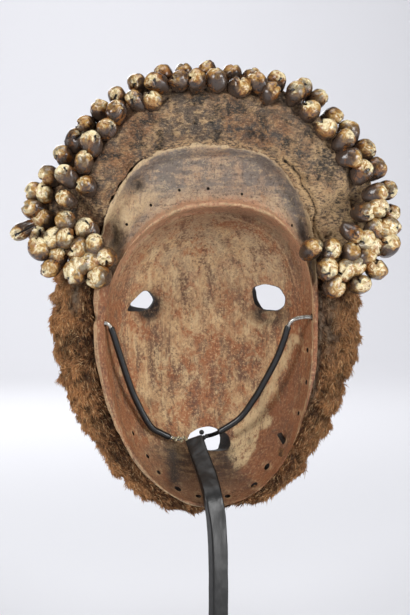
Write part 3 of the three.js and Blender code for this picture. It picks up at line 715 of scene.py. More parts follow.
band_angle = np.radians(np.linspace(-RIGHT_END, LEFT_END, BAND_STEPS))
size = np.abs(np.degrees(band_angle))
end = np.where(band_angle > 0, LEFT_END, RIGHT_END)
taper = smooth_step(size, TEMPLE_START, end)[:, None]
low = smooth_step(size, 41, 48)
back = mix(BAND_BACK, TEMPLE_BACK, low)
swell = (1 - low) * (BAND_SWELL + 1.2 * np.sin(9 * band_angle) + 0.8 * np.sin(23 * band_angle))
narrow = wood_point(band_angle, TEMPLE_NARROW)
near_edge = mix(arch_point(NEAR_ROW, band_angle, UNDER_NEAR), narrow, taper)
far_edge = mix(arch_point(FAR_ROW, band_angle, UNDER_FAR), narrow, taper)
inner_front = wood_point(band_angle, HUG, BAND_FRONT + 6)
# The crack: over the left temple the hide's edge has shrunk away from the wood, elsewhere it laps over it.
parted = smooth_step(band_angle, math.radians(18), math.radians(23)) * (1 - smooth_step(size, 60, 66))
wander = np.stack([170 * band_angle, 0 * band_angle, 0 * band_angle], -1)
jagged = 0.7 * rough(wander, 6, 57, 4) + 0.4 * lumps(wander, 2.2, 58)
lapped = wood_point(band_angle, mix(-1.8, 0.5 + jagged, parted))
inner = wood_point(band_angle, mix(HUG, 1.4, parted))
places = [
    (wood_point(band_angle, mix(0.2, 1.6 + 0.5 * jagged, parted)), -12),
    (lapped, back - mix(3.2, 2.6, parted)),
    (mix(inner, near_edge, 0.07), back - mix(0.6, 0.4, parted)),
    (mix(inner, near_edge, 0.4), back + swell),
    (mix(inner, near_edge, 0.85), back + 0.4 * swell),
    (near_edge, back - 4),
    (far_edge, FAR_ROW["y"]),
    (mix(inner, far_edge, 0.98), BAND_FRONT),
    (mix(inner, far_edge, 0.45), BAND_FRONT + 2),
    (inner_front, BAND_FRONT + 6),
]
band = closed_curve(places, BAND_SIDES)


def pits_at(points):
    """1 in the hide's pits: where lumps 9 mm and 2.5 mm wide fall together."""
    return smooth_step(rough(points, 9, 51) + 0.35 * rough(points, 2.5, 52), 0.2, 0.7)


relief = 1.1 * rough(band, 14, 54) + 0.5 * lumps(band * (0.35, 0.6, 1), 3.2, 53)
relief += 0.75 * rough(band, 3.4, 55)
relief -= 2.2 * pits_at(band)
# On the right it split again a little way off the wood, down to the temple, with pale dust on the lips and
# painted shade down the split.
SPLIT = [(-62, 131), (-72.4, 122.4), (-78.8, 110.4), (-84.4, 101.6), (-88.4, 90.4), (-87.6, 77.6),
         (-95.6, 64)]


def split_gap(points):
    """Distance to the split, which wanders by a millimetre or two."""
    x = points[..., 0] + 1.7 * rough(points, 8, 60)
    z = points[..., 2] + 1.7 * rough(points, 8, 62)
    gaps = [segment_gap(x, z, *ends) for ends in zip(SPLIT, SPLIT[1:])]
    behind_only = 30 * smooth_step(-points[..., 1], 12, 16)
    return np.minimum.reduce(gaps) + behind_only


gap = split_gap(band)
relief += 0.9 * bell(gap, 3.2, 1.6) - 1.6 * bell(gap, 0, 1.1)
band = band + normals(band) * relief[..., None]
headband = new_piece("headband_hide", *skin(band))
p = points_of(headband)
x, depth, z = p.T
away, turn = off_wood(x, z)
patch = rough(p, 20, 56)
lip = smooth_step(depth, -9, -5) * (1 - smooth_step(away + 1.5 * patch, 0.5, 4))
paint(headband, "lip", lip * (1 - smooth_step(turn, 0.25, 0.5)))
paint(headband, "pits", pits_at(p))
paint(headband, "brown", smooth_step(turn + 0.2 * patch, 0.3, 0.8))
gap = split_gap(p)
# Painted shade: the split is painted near black.
paint(headband, "split", bell(gap, 0, 0.9))
paint(headband, "split_lips", bell(gap, 2.2, 1.8))
# Streaks of hair side and dirt run along the crescent.
drawn_out = np.stack([60 * turn, away, depth], -1)
paint(headband, "streak", smooth_step(rough(drawn_out, 3.4, 59), -0.7, 0.9))
paint(headband, "dusty", smooth_step(0.25 * patch - turn, 0.45, 0.9))
paint(headband, "dark", bell(away, 15 + 5 * patch, 8) * (1 - smooth_step(np.abs(turn + 0.25), 0.2, 0.5)))

# Raw hide dried hard under dust: mottled grey-brown, rough, darker in its pits, tan along its lips, with
# painted shade in the split.
dried_hide = finish("dried_raw_hide", dict(
    fibre=(1.6, (0.5, 1, 1.2), 5, 0.62, 0),
    mottle=(6, (1, 1, 1), 6, 0.62, 0.4),
    clouds=(26, (1, 1, 1), 4, 0.6, 0),
    wrinkle=(9, (0.6, 1, 1), 6, 0.6, 0.9),
    off_wrinkle="wrinkle",
    grit=(0.9, (1, 1, 1), 4, 0.65, 0),
), [
    "#987a5e",
    ("#866242", 1, "brown"),
    ("#b79970", 1, "", dict(mottle=1, fibre=1), 0.98, 1.2),
    ("#c4a579", 1, "dusty", dict(mottle=1), 0.4, 0.6),
    ("#54463b", 0.55, "", dict(streak=1, fibre=1), 0.9, 0.6),
    ("#bd9a6e", 0.5, "", dict(streak=1, fibre=1), 1.15, 1.45),
    ("#925f38", 0.6, "", dict(clouds=1, fibre=0.8), 0.93, 1.03),
    ("#5b5047", 0.8, "", dict(mottle=1, clouds=0.8), 0.88, 0.74),
    ("#4b3d31", 0.6, "", dict(fibre=1, grit=0.6), 0.82, 0.66),
    ("#4a443f", 1, "dark", dict(mottle=1), 0.56, 0.4),
    ("#36332f", 0.85, "pits", dict(fibre=1), 0.68, 0.48),
    ("#2f2822", 0.6, "", dict(off_wrinkle=1), 0.02, 0.0),
    ("#cdb492", 0.5, "", dict(grit=1, fibre=0.5), 0.78, 0.96),
    ("#bf9c72", 1, "lip", dict(fibre=1), 0.42, 0.62),
    ("#c9a677", 1, "split_lips", dict(fibre=1), 0.36, 0.56),
    ("#2a1e16", 1, "", dict(split=1), 0.35, 0.8),
    ("#2c241d", 0.6, "", dict(fibre=1, grit=0.5), 0.62, 0.5),
    ("#cdab80", 0.85, "dusty", dict(fibre=1, mottle=0.6), 0.66, 0.9),
], gloss=0.85, relief=(1.0, 2.6, dict(fibre=1, mottle=1.6, wrinkle=1)))
headband.data.materials.append(dried_hide)
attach(headband, "root")
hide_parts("headband")

# The cowries
# Money cowries, 15 to 20 mm long, sewn on end side by side in two rows and in a patch at each temple. Each
# shows the glossy dome of its end with the notch of its toothed slit: cream, ochre and brown, with painted
# shade darkening its sides to grey-brown and dark brown.
SHELL_ROWS, SHELL_SIDES = 24, 28
# The u of a shell's form from which its slit is open: towards the near end, or all along if it lies flat.
SLIT_ON_END, SLIT_LYING = 1.8, 0.5


def cowrie(rng, at, along, outwards, half, slit_start):
    """Points, faces and marks of one shell: an egg of revolution, flattened below and slit end to end.

    At u from end to end and v round it, the radius is sin(u)^0.72 (1 - 0.1 cos u), flatter below than above,
    less a groove exp(-((v - w) / 0.2)^2) along the underside with teeth cos(26 u) on its lips, where w is 0,
    or 1.3 cos(u) on a shell on end. Both ends are notched where the slit leaves them.
    """
    u = np.linspace(0.07, np.pi - 0.07, SHELL_ROWS)[:, None]
    v = np.linspace(-np.pi, np.pi, SHELL_SIDES, endpoint=False)[None, :]
    off = v - 1.3 * np.cos(u) * (slit_start == SLIT_ON_END)
    radius = np.sin(u) ** 0.72 * (1 - 0.1 * np.cos(u))
    slit = bell(off, 0, 0.2 + 0.24 * bell(u, 2.5, 0.22)) * (1 - smooth_step(u, 2.62, 2.86))
    slit = slit * smooth_step(u, slit_start, slit_start + 0.25)
    lips = bell(np.abs(off), 0.46, 0.2)
    radius = radius * (1 - 0.42 * slit + 0.06 * lips * (1 + 0.8 * np.cos(26 * u)))
    notch = bell(off, 0, 0.42)
    length = -np.cos(u) * (1 - 0.34 * notch * bell(u, np.pi, 0.75) - 0.2 * notch * bell(u, 0, 0.6))
    side = radius * np.sin(v)
    high = -radius * np.cos(v)
    high = np.where(high < 0, 0.72 * high, high)
    body = np.stack([side * half[0], length * half[1], high * half[2]], -1)
    body += (0.55 * rough(body + rng.uniform(0, 300, 3), 6, 61, 2))[..., None] * body / 8
    through = np.cross(along, outwards)
    made, faces = skin(at + body @ np.stack([along, outwards, through]))
    ends = [0.0, 0.0]
    # The dome takes the painted light and the sides the painted shade.
    dome = np.append((smooth_step(u, 1.1, 3.0) + 0 * v).ravel(), [0.0, 1.0])
    groove = np.append(slit.ravel(), ends)
    pale = np.append((bell(off, 0, 0.9) * smooth_step(u, slit_start, slit_start + 0.4)).ravel(), ends)
    return (made, faces), dome, groove, pale


def turned(vector, axis, angle):
    """The vector v turned about a unit axis k: v cos a + (k x v) sin a + k (k . v)(1 - cos a)."""
    return (vector * math.cos(angle) + np.cross(axis, vector) * math.sin(angle)
            + axis * np.dot(axis, vector) * (1 - math.cos(angle)))


# Glossy cowrie: painted shade from dark brown on the sides up to ochre, then cream on the lit dome and along
# the slit's lips, with grey-brown patches more on the sides as painted shade, brown smears and veins, and
# black painted in the slit as the shade of its opening.
# How far a point stands out of the painted shade of the sides: mostly the lit dome, with blotches, flecks
# and tint.
LEVEL = dict(dome=1.4, blotch=3.0, fleck=0.7, tint=-0.4)
cowrie_shell = finish("money_cowrie_shell", dict(
    blotch=(6, (1, 1, 1), 4, 0.55, 1.6),
    fleck=(1.5, (1, 1, 1), 6, 0.7, 0.5),
    cloud=(9, (1, 1, 1), 3, 0.5, 0),
    vein=(4, (1, 1, 1), 3, 0.6, 2.0),
    off_vein="vein",
), [
    "#2b211b",
    ("#6f4b2a", 1, "", LEVEL, 1.88, 2.36),
    ("#ae864a", 1, "", LEVEL, 2.26, 2.66),
    ("#eadaae", 1, "", dict(LEVEL, pale=0.6), 2.74, 3.24),
    # Grey-brown patches, more on the sides: part of the painted side shade.
    ("#45382f", 0.75, "", dict(cloud=1, blotch=0.4, dome=-0.2), 0.54, 0.66),
    ("#8f5a2a", 0.65, "", dict(cloud=1, vein=0.5), 0.7, 0.56),
    ("#4a2f1c", 0.65, "", dict(off_vein=1), 0.02, 0.0),
    ("#2c1c13", 0.8, "", dict(fleck=1, pale=-0.08), 0.58, 0.65),
    # Black painted in the slit as the shade of its opening.
    ("#150e0a", 1, "", dict(groove=1, fleck=0.25), 0.6, 0.85),
], gloss=0.24, relief=(0.3, 0.5, dict(fleck=1, blotch=1.5)),
    sockets={"Coat Weight": 0.25, "Coat Roughness": 0.15})


def shell_group(name, seats, rng, replaced):
    """One piece of shells from seats: place, way that the end points, half sizes, turn, slit's start."""
    parts, marks = [], []
    for at, out, half, roll, slit_start in seats:
        out = out / np.linalg.norm(out)
        side = np.cross(out, (0.0, 0.0, 1.0))
        wide = turned(side / np.linalg.norm(side), out, roll)
        shell, *painted = cowrie(rng, at, wide, out, np.array(half), slit_start)
        parts.append(shell)
        # The top rows are the most weathered and darkest.
        tint = rng.uniform() + 0.8 * smooth_step(at[2], 120, 170) * (1 - smooth_step(-at[0], 40, 90))
        marks.append([*painted, np.full(len(painted[0]), tint)])
    piece = new_piece(name, *together(parts))
    for label, values in zip(("dome", "groove", "pale", "tint"), zip(*marks)):
        paint(piece, label, np.concatenate(values))
    piece.data.materials.append(cowrie_shell)
    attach(piece, "root")
    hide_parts(replaced)


# Where each shell sits, as across and height in mm, from the left temple over the top to the right one.
NEAR_SEATS = [
    (94, 75), (111, 81), (111, 101), (95, 111), (110, 118), (96, 128), (92, 144), (80, 155), (71, 169),
    (56, 177), (42, 178), (39, 192), (22, 195), (9, 194), (-8, 195), (-25, 190), (-42, 193), (-51, 184),
    (-70, 185), (-83, 171), (-96, 157), (-110, 146), (-115, 134), (-125, 122), (-136, 106), (-125, 91),
]
FAR_SEATS = [
    (134, 71), (128, 85), (136, 93), (127, 105), (136, 106), (125, 119), (114, 134), (105, 147), (95, 160),
    (84, 171), (71, 182), (54, 191), (34, 199), (14, 201), (-4, 202), (-23, 200), (-38, 199), (-57, 195),
    (-71, 178), (-78, 189), (-90, 180), (-103, 168), (-117, 155), (-129, 140), (-138, 125), (-147, 108),
    (-150, 91),
]
TEMPLE_SEATS = {
    "left": [(121, 68), (132, 62), (118, 54), (103, 62), (88, 62), (81, 54), (99, 49), (105, 41), (87, 40),
             (124, 48), (112, 70), (92, 51)],
    "right": [(-139, 93), (-136, 75), (-147, 77), (-83, 60), (-98, 60), (-116, 57), (-134, 61), (-147, 64),
              (-96, 44), (-121, 46), (-137, 46), (-103, 31), (-123, 33), (-129, 54), (-127, 68), (-110, 44)],
}
# Two lie on their sides with the toothed slit turned to the viewer: place, way along it, half sizes.
LYING = {
    "far_left_low": [((145, -13, 76), (0.88, 0.1, -0.47), (7.0, 12.0, 7.6))],
    "temple_right": [((-116, 4, 74), (-0.84, 0.2, -0.5), (7.4, 10.4, 7.8))],
}
ROW_PARTS = ["left_low", "left_high", "right_high", "right_low"]


def part_of(row, seats):
    """The quarter of the row that each seat lies in, by length along its arch."""
    start = 0.0
    while arch_point(row, start)[1] > row["lowest"]:
        start += math.radians(0.5)
    path = arch_point(row, np.linspace(start, -start, 2000))
    length = np.concatenate([[0], np.cumsum(np.linalg.norm(np.diff(path, axis=0), axis=1))])
    nearest = np.argmin(np.linalg.norm(path[None] - seats[:, None], axis=2), axis=1)
    return np.minimum(len(ROW_PARTS) * length[nearest] / length[-1], len(ROW_PARTS) - 1).astype(int)


def seat(rng, x, z, depth, tilt, larger=1.0):
    """A shell on end: its tip leans that far out from the viewer's way, within some chance."""
    a = math.atan2(x, z) + rng.normal(0, 0.5)
    lean = tilt + rng.normal(0, 0.3)
    out = np.array([math.sin(lean) * math.sin(a), math.cos(lean), math.sin(lean) * math.cos(a)])
    wide = larger * rng.uniform(0.96, 1.14)
    half = (8.4 * wide, 10.8 * rng.uniform(0.94, 1.06), 8.2 * wide)
    return np.array([x, depth, z]) + rng.normal(0, 0.5, 3), out, half, rng.uniform(0, 2 * np.pi), SLIT_ON_END


def lying(group):
    """The shells of a group that lie on their sides, turned so that the slit faces the viewer."""
    seats = LYING.get(group, [])
    return [(np.array(at, float), np.array(out), half, np.pi / 2, SLIT_LYING) for at, out, half in seats]


for row_name, row, seats, seed in (("near", NEAR_ROW, NEAR_SEATS, 71), ("far", FAR_ROW, FAR_SEATS, 72)):
    rng = np.random.default_rng(seed)
    seats = np.array(seats, float)
    parts = part_of(row, seats)
    for i, part in enumerate(ROW_PARTS):
        places = [seat(rng, x, z, row["y"], 0.85) for x, z in seats[parts == i]]
        places += lying(f"{row_name}_{part}")
        shell_group(f"shells_{row_name}_{part}", places, rng, f"cowries_{row_name}_{part}")

for side, seats in TEMPLE_SEATS.items():
    rng = np.random.default_rng(len(side))
    places = [seat(rng, x, z, mix(6.6, -1.0, smooth_step(abs(x), 86, 126)), 0.5, 1.1) for x, z in seats]
    places += lying(f"temple_{side}")
    shell_group(f"shells_temple_{side}", places, rng, f"cowries_temple_{side}")

# The beard
# A ruff of goat hide with its hair on, laced through the rim's holes. The hair is short, matted and dusty:
# dark where it meets the wood, red-brown at its ragged outer edge.
BEARD = dict(left=33.0, right=37.0, chin=9.5, left_start=68.0, right_start=67.0, back=-13.0, front=-32.0)
BEARD_STEPS, BEARD_SIDES = 470, 84
beard_angle = np.radians(np.linspace(BEARD["left_start"], 360 - BEARD["right_start"], BEARD_STEPS))
signed = np.degrees(np.arctan2(np.sin(beard_angle), np.cos(beard_angle)))
down = np.clip((np.abs(signed) - 90) / 88, 0, 1)
width = mix(np.where(signed > 0, BEARD["left"], BEARD["right"]), BEARD["chin"], down**1.3)
wander = np.stack([100 * np.cos(beard_angle), 100 * np.sin(beard_angle), 0 * beard_angle], -1)
width = width + 2.4 * lumps(wander, 13, 81) + 2.2 * lumps(wander, 6, 82) + 1.4 * lumps(wander, 3, 80)
# Under the chin it is worn away.
worn = 0.8 * smooth_step(-signed, 163, 171) + 0.35 * smooth_step(signed, 160, 172)
width = width * (1 - worn - 0.3 * smooth_step(signed, 175, 180))
ends = smooth_step(beard_angle, beard_angle[0], beard_angle[0] + 0.05)
ends = ends * (1 - smooth_step(beard_angle, beard_angle[-1] - 0.05, beard_angle[-1]))
places = [
    (wood_point(beard_angle, -0.4), BEARD["back"] - 1),
    (wood_point(beard_angle, 0.35 * width), BEARD["back"] + 0.5 * ends),
    (wood_point(beard_angle, 0.78 * width), BEARD["back"] - 2 * ends),
    (wood_point(beard_angle, 0.97 * width), BEARD["back"] - 11),
    (wood_point(beard_angle, 0.88 * width), BEARD["front"]),
    (wood_point(beard_angle, HUG, BEARD["front"] + 7), BEARD["front"] + 2),
]
felt = closed_curve(places, BEARD_SIDES)
tufts = 1.8 * rough(felt, 11, 83) + 1.8 * rough(felt, 4.5, 84)
# Painted shade in the hollows between the tufts.
sunk = smooth_step(-tufts, -0.6, 1.8)
felt = felt + normals(felt) * tufts[..., None]
flat_felt = felt.reshape(-1, 3)
felt_piece = new_piece("beard_hide", *skin(felt))


def warmth(points):
    """0 where the hair is dark beside the wood, 1 at the outer edge where it is bleached red-brown."""
    away, _ = off_wood(points[:, 0], points[:, 2])
    return smooth_step(away + 6 * rough(points, 16, 85), 6, 21)


def raw_at(points):
    """1 on the bare grey strips of hide by the temples, and down the right between wood and hair."""
    away, turn = off_wood(points[:, 0], points[:, 2])
    degrees = np.degrees(turn)
    left = bell(away, 15, 4) * smooth_step(degrees, 66, 70) * (1 - smooth_step(degrees, 80, 88))
    right = bell(away, 12, 6) * smooth_step(-degrees, 70, 75) * (1 - smooth_step(-degrees, 98, 112))
    strip = bell(away, 3.5, 2.2) * smooth_step(-degrees, 72, 76) * (1 - smooth_step(-degrees, 122, 136))
    return np.clip(left + 0.7 * right + strip, 0, 1)


p = points_of(felt_piece)
paint(felt_piece, "warm", warmth(p))
# Painted shade: the right side of the hair darkened towards its outer edge, added to the shade of the tufts'
# hollows.
shade = 0.5 * smooth_step(-flat_felt[:, 0], 30, 90) * warmth(flat_felt)
sunk = np.clip(sunk.ravel() + shade, 0, 1)
paint(felt_piece, "sunk", np.append(sunk, [0.5, 0.5]))
paint(felt_piece, "raw", raw_at(p))
paint(felt_piece, "tint", np.full(len(p), 0.35))


def goat_hair(name, dark, middle, warm, light):
    """Coarse goat hair, matted: dark roots, red-brown ends, some strands bleached, and painted shade in the
    tufts' hollows and down the right side.
    """
    spread = dict(tuft=1, tint=0.18), 0.46, 0.72
    return finish(name, dict(tuft=(5, (1, 1, 1), 7, 0.68, 0), fine=(1.1, (1, 1, 1), 4, 0.6, 0)), [
        dark,
        (middle, 1, "", *spread),
        ([middle, (warm, 1, "", *spread)], 1, "warm"),
        (light, 0.7, "", dict(fine=1, tint=0.5), 0.86, 1.02),
        # Painted shade in the tufts' hollows and down the right side.
        ("#21160f", 0.75, "sunk"),
        ("#7d6b58", 1, "raw", dict(tuft=1), 0.36, 0.56),
    ], gloss=0.75, relief=(0.8, 1.5, dict(tuft=1, fine=0.5)), sockets={"Specular IOR Level": 0.25})


felt_piece.data.materials.append(goat_hair("matted_goat_hide", "#3b291b", "#8b6341", "#ab7b4e", "#c49a6a"))
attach(felt_piece, "root")
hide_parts("beard")

HAIRS, HAIR_PIECES, HAIR_POINTS = 10500, 3, 7
HAIR_LENGTH, HAIR_RADIUS, HAIR_DROP = (2.4, 6.0), (0.25, 0.5), 1.5


def strands(rng, roots, directions, lengths, thick, drop):
    """Tapered three-sided hairs: point = root + direction L t + drop t^2, radius r (1 - 0.5 t), to a tip."""
    count = len(roots)
    t = np.array([0.0, 0.55])
    middle = roots[:, None] + directions[:, None] * (lengths[:, None] * t)[..., None]
    middle = middle + drop[:, None] * (t**2)[None, :, None]
    tip = roots + directions * lengths[:, None] + drop
    side = np.cross(directions, rng.normal(size=(count, 3)))
    side /= np.linalg.norm(side, axis=1, keepdims=True)
    other = np.cross(directions, side)
    turn = 2 * np.pi * np.arange(3) / 3
    circle = side[:, None] * np.cos(turn)[None, :, None] + other[:, None] * np.sin(turn)[None, :, None]
    radius = thick[:, None] * (1 - 0.5 * t)[None, :]
    rings = middle[:, :, None] + circle[:, None] * radius[..., None, None]
    points = np.concatenate([rings.reshape(count, HAIR_POINTS - 1, 3), tip[:, None]], 1)
    quads = [[k, (k + 1) % 3, 3 + (k + 1) % 3, 3 + k] for k in range(3)]
    ends = [[2, 1, 0]] + [[3 + k, 3 + (k + 1) % 3, 6] for k in range(3)]
    starts = HAIR_POINTS * np.arange(count)[:, None, None]
    faces = (starts + quads).reshape(-1, 4).tolist() + (starts + ends).reshape(-1, 3).tolist()
    return points.reshape(-1, 3), faces


hair = goat_hair("goat_hair", "#5a3822", "#b68154", "#cf9761", "#eccb99")
flat_normals = normals(felt).reshape(-1, 3)
felt_angle = np.repeat(beard_angle, felt.shape[1])
felt_away, _ = off_wood(flat_felt[:, 0], flat_felt[:, 2])
for i in range(HAIR_PIECES):
    rng = np.random.default_rng(90 + i)
    span = (beard_angle[-1] - beard_angle[0]) / HAIR_PIECES
    start = beard_angle[0] + i * span
    thick_coat = rng.uniform(size=len(flat_felt)) > 0.75 * raw_at(flat_felt)
    in_span = (felt_angle >= start) & (felt_angle <= start + span)
    mine = np.flatnonzero(in_span & (felt_away > 1.5) & thick_coat)
    picked = rng.choice(mine, HAIRS)
    roots = flat_felt[picked] + rng.normal(0, 0.6, (HAIRS, 3)) - 0.5 * flat_normals[picked]
    a = felt_angle[picked]
    radial = np.stack([np.sin(a), 0 * a, np.cos(a)], -1)
    around = np.stack([np.cos(a), 0 * a, -np.sin(a)], -1) * np.sign(np.sin(a))[:, None]
    swirl = np.stack([lumps(roots, 9, seed) for seed in (86, 87, 88)], -1)
    direction = 0.15 * radial + 0.75 * around + 0.9 * swirl + 0.25 * rng.normal(size=(HAIRS, 3))
    inward = np.sum(direction * flat_normals[picked], 1, keepdims=True)
    direction = direction + flat_normals[picked] * (0.16 - inward)
    direction /= np.linalg.norm(direction, axis=1, keepdims=True)
    lengths = rng.uniform(*HAIR_LENGTH, HAIRS)
    drop = np.stack([0 * a, 0 * a, -rng.uniform(0, HAIR_DROP, HAIRS)], -1)
    thick = rng.uniform(*HAIR_RADIUS, HAIRS)
    piece = new_piece(f"beard_hair_{i}", *strands(rng, roots, direction, lengths, thick, drop))
    p = points_of(piece)
    paint(piece, "warm", warmth(p))
    # Each hair takes the painted shade of the place it grows from.
    paint(piece, "sunk", np.repeat(0.8 * sunk[picked], HAIR_POINTS))
    paint(piece, "raw", raw_at(p))
    paint(piece, "tint", np.repeat(rng.uniform(size=HAIRS), HAIR_POINTS))
    piece.data.materials.append(hair)
    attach(piece, "root")

# The stand
# A flat bar forged by hand: it rises from a square foot, then twists and leans into the hollow. Two round
# steel rods in shrunk black sleeves are brazed to its head and hook into the rim. Bar and foot are black.
BAR_WIDTH, BAR_THICK, BAR_SQUARENESS = 15.0, 7.0, 16
BAR_STEPS, BAR_SIDES = 260, 64
# Its middle line and its turn about that line, as across, depth, height and degrees.
BAR_PATH = [
    (-8.2, 13.5, -273.6, 32), (-8.3, 13.5, -210, 32), (-8.2, 11.9, -184, 31), (-7.4, 9.3, -160, 26),
    (-4.6, 4.4, -138, 10), (-1.4, -13, -123, -5), (3.5, -31, -107.6, -16), (6.6, -42, -96.6, -22),
]
ARM_PATHS = {
    "left": [(15.2, -42, -97), (24, -41.5, -96), (33.5, -39.5, -91.8), (43.6, -36, -84.6),
             (55.2, -30, -63.1), (61.9, -24, -46.1), (70.2, -15, -20.7), (75, -9, -5.7), (79, -6.3, 1),
             (86.5, -6, 1.6)],
    "right": [(-2, -42, -95), (-9, -41.5, -93.4), (-16.6, -40, -89.6), (-31.2, -36, -79), (-42.2, -31, -63),
              (-47, -28, -54.4), (-58.8, -20, -30.1), (-64.4, -13, -13.3), (-68, -8.5, 0),
              (-73.2, -6.2, 4.3), (-80.6, -6, 5.7), (-88, -6, 5.7)],
}
ROD_RADIUS, SLEEVE_RADIUS, ROD_SIDES, ARM_STEPS = 1.7, 2.7, 20, 180
# Each sleeve leaves the rod bare by the bar and at the hook: where it starts and ends along the arm.
SLEEVE_SHARES = {"left": (1 / 13, 12 / 13), "right": (1 / 13, 11 / 13)}


def smooth_path(points, samples):
    """An open curve of the same cubics through the points, in even steps, with its unit tangents."""
    points = np.array(points, float)
    padded = np.concatenate([2 * points[:1] - points[1:2], points, 2 * points[-1:] - points[-2:-1]])
    t = np.linspace(0, len(points) - 1 - 1e-6, 40 * len(points))
    i = t.astype(int)
    curve = spline(*(padded[i + shift] for shift in range(4)), (t - i)[:, None])
    gaps = np.linalg.norm(np.diff(curve[:, :3], axis=0), axis=1)
    length = np.concatenate([[0], np.cumsum(gaps)])
    even = np.linspace(0, length[-1], samples)
    curve = np.stack([np.interp(even, length, curve[:, k]) for k in range(curve.shape[1])], -1)
    tangents = np.gradient(curve[:, :3], axis=0)
    return curve, tangents / np.linalg.norm(tangents, axis=1, keepdims=True)


def rod(path, tangents, radius):
    """A round rod along a path, its ends rounded over: near an end the radius falls as sqrt(1 - d^2)."""
    side = np.cross(tangents, (0, 1, 0))
    side /= np.linalg.norm(side, axis=1, keepdims=True)
    up = np.cross(side, tangents)
    turn = np.linspace(0, 2 * np.pi, ROD_SIDES, endpoint=False)
    circle = side[:, None] * np.cos(turn)[None, :, None] + up[:, None] * np.sin(turn)[None, :, None]
    from_start = np.linalg.norm(path - path[0], axis=1)
    from_end = np.linalg.norm(path - path[-1], axis=1)
    near = np.clip(1 - np.minimum(from_start, from_end) / radius, 0, 0.985)
    return path[:, None] + circle * (radius * np.sqrt(1 - near**2))[:, None, None]


bar_path, bar_tangents = smooth_path(BAR_PATH, BAR_STEPS)
turn = np.radians(bar_path[:, 3])
wide = np.stack([-np.cos(turn), -np.sin(turn), 0 * turn], -1)
wide -= bar_tangents * np.sum(wide * bar_tangents, 1, keepdims=True)
wide /= np.linalg.norm(wide, axis=1, keepdims=True)
thick = np.cross(bar_tangents, wide)
around = np.linspace(0, 2 * np.pi, BAR_SIDES, endpoint=False)
# A rounded rectangle as a superellipse of high power.
corner = np.abs(np.cos(around)) ** BAR_SQUARENESS + np.abs(np.sin(around)) ** BAR_SQUARENESS
corner = corner ** (-1 / BAR_SQUARENESS)
half_width = BAR_WIDTH / 2 * corner * np.cos(around)
half_thick = BAR_THICK / 2 * corner * np.sin(around)
bar = bar_path[:, None, :3] + wide[:, None] * half_width[None, :, None]
bar = bar + thick[:, None] * half_thick[None, :, None]
head = np.clip(1 - np.linalg.norm(bar_path[:, :3] - bar_path[-1, :3], axis=1) / 2.0, 0, 1)[:, None, None]
bar = mix(bar, bar_path[:, None, :3], 0.35 * head**2)
bar = bar + normals(bar) * (0.25 * rough(bar * (1, 1, 0.6), 9, 101))[..., None]
post = new_piece("stand_bar", *skin(bar))

# Black satin paint brushed over forged iron: near black, faint hammer marks, a soft sheen.
black = finish("black_painted_iron", dict(
    hammer=(7, (1, 1, 0.6), 4, 0.55, 0),
    dust=(1.3, (1, 1, 0.5), 5, 0.65, 0),
), [
    "#050505",
    ("#121110", 1, "", dict(dust=1), 0.4, 0.7),
], gloss=("hammer", 0.26, 0.46), relief=(0.18, 0.8, dict(hammer=1, dust=0.3)))
post.data.materials.append(black)
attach(post, "root")
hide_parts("post")
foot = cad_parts["foot"]
foot.data.materials.clear()
foot.data.materials.append(black)

# Bare mild steel rod: bright, a little tarnished, and painted over beside the bar.
steel = finish("bare_steel_rod", dict(tarnish=(1.6, (1, 1, 1), 4, 0.6, 0)), [
    "#c4c2bc",
    ("#8b8478", 1, "", dict(tarnish=1), 0.4, 0.65),
    ("#1c1b1a", 1, "painted"),
], gloss=("tarnish", 0.18, 0.4), sockets={"Metallic": 1.0})
# Heat-shrunk black tubing: soft satin, a little rippled where it gripped the bends.
tubing = finish("shrunk_black_tubing", dict(grip=(4, (1, 1, 1), 4, 0.55, 0)), [
    "#0c0c0c",
    ("#1a1a1b", 1, "", dict(grip=1), 0.35, 0.65),
], gloss=0.3, relief=(0.25, 0.5, dict(grip=1)))
# Brazing brass: small dull yellow drops with flux in their hollows.
braze = finish("brazing_brass", dict(flux=(1.2, (1, 1, 1), 4, 0.6, 0)), [
    "#d2c7a4",
    ("#3d3424", 1, "", dict(flux=1), 0.46, 0.56),
], gloss=0.35, sockets={"Metallic": 0.6})
# Drops of metal where the rods meet the bar's head, as place and radius: bare on the left, painted on the
# right.
BRAZING = [(15.2, -40.2, -95.6, 1.6), (17.4, -40, -97.9, 1.5), (19.6, -40.2, -95.6, 1.5),
           (22, -39.6, -97.4, 1.4), (24.4, -39.4, -95.6, 1.2), (12.8, -40.4, -97.4, 1.4)]
WELD = [(-1.2, -39.4, -95.6, 2.0), (-3.8, -39.6, -94.6, 1.6), (0.4, -41.4, -91.4, 2.1)]
BEAD_ROWS, BEAD_SIDES = 8, 14


def bead(x, depth, z, radius):
    """A small round drop: rings of a sphere, sin(u) wide at -cos(u)."""
    u = np.linspace(0.2, np.pi - 0.2, BEAD_ROWS)
    turn = np.linspace(0, 2 * np.pi, BEAD_SIDES, endpoint=False)
    wide = radius * np.sin(u)[:, None]
    ring = [x + wide * np.cos(turn), depth - radius * np.cos(u)[:, None] + 0 * turn, z + wide * np.sin(turn)]
    return skin(np.stack(ring, -1))


def drops(name, places, material):
    """The beads at some places as one piece."""
    piece = new_piece(name, *together([bead(*place) for place in places]))
    piece.data.materials.append(material)
    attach(piece, "root")


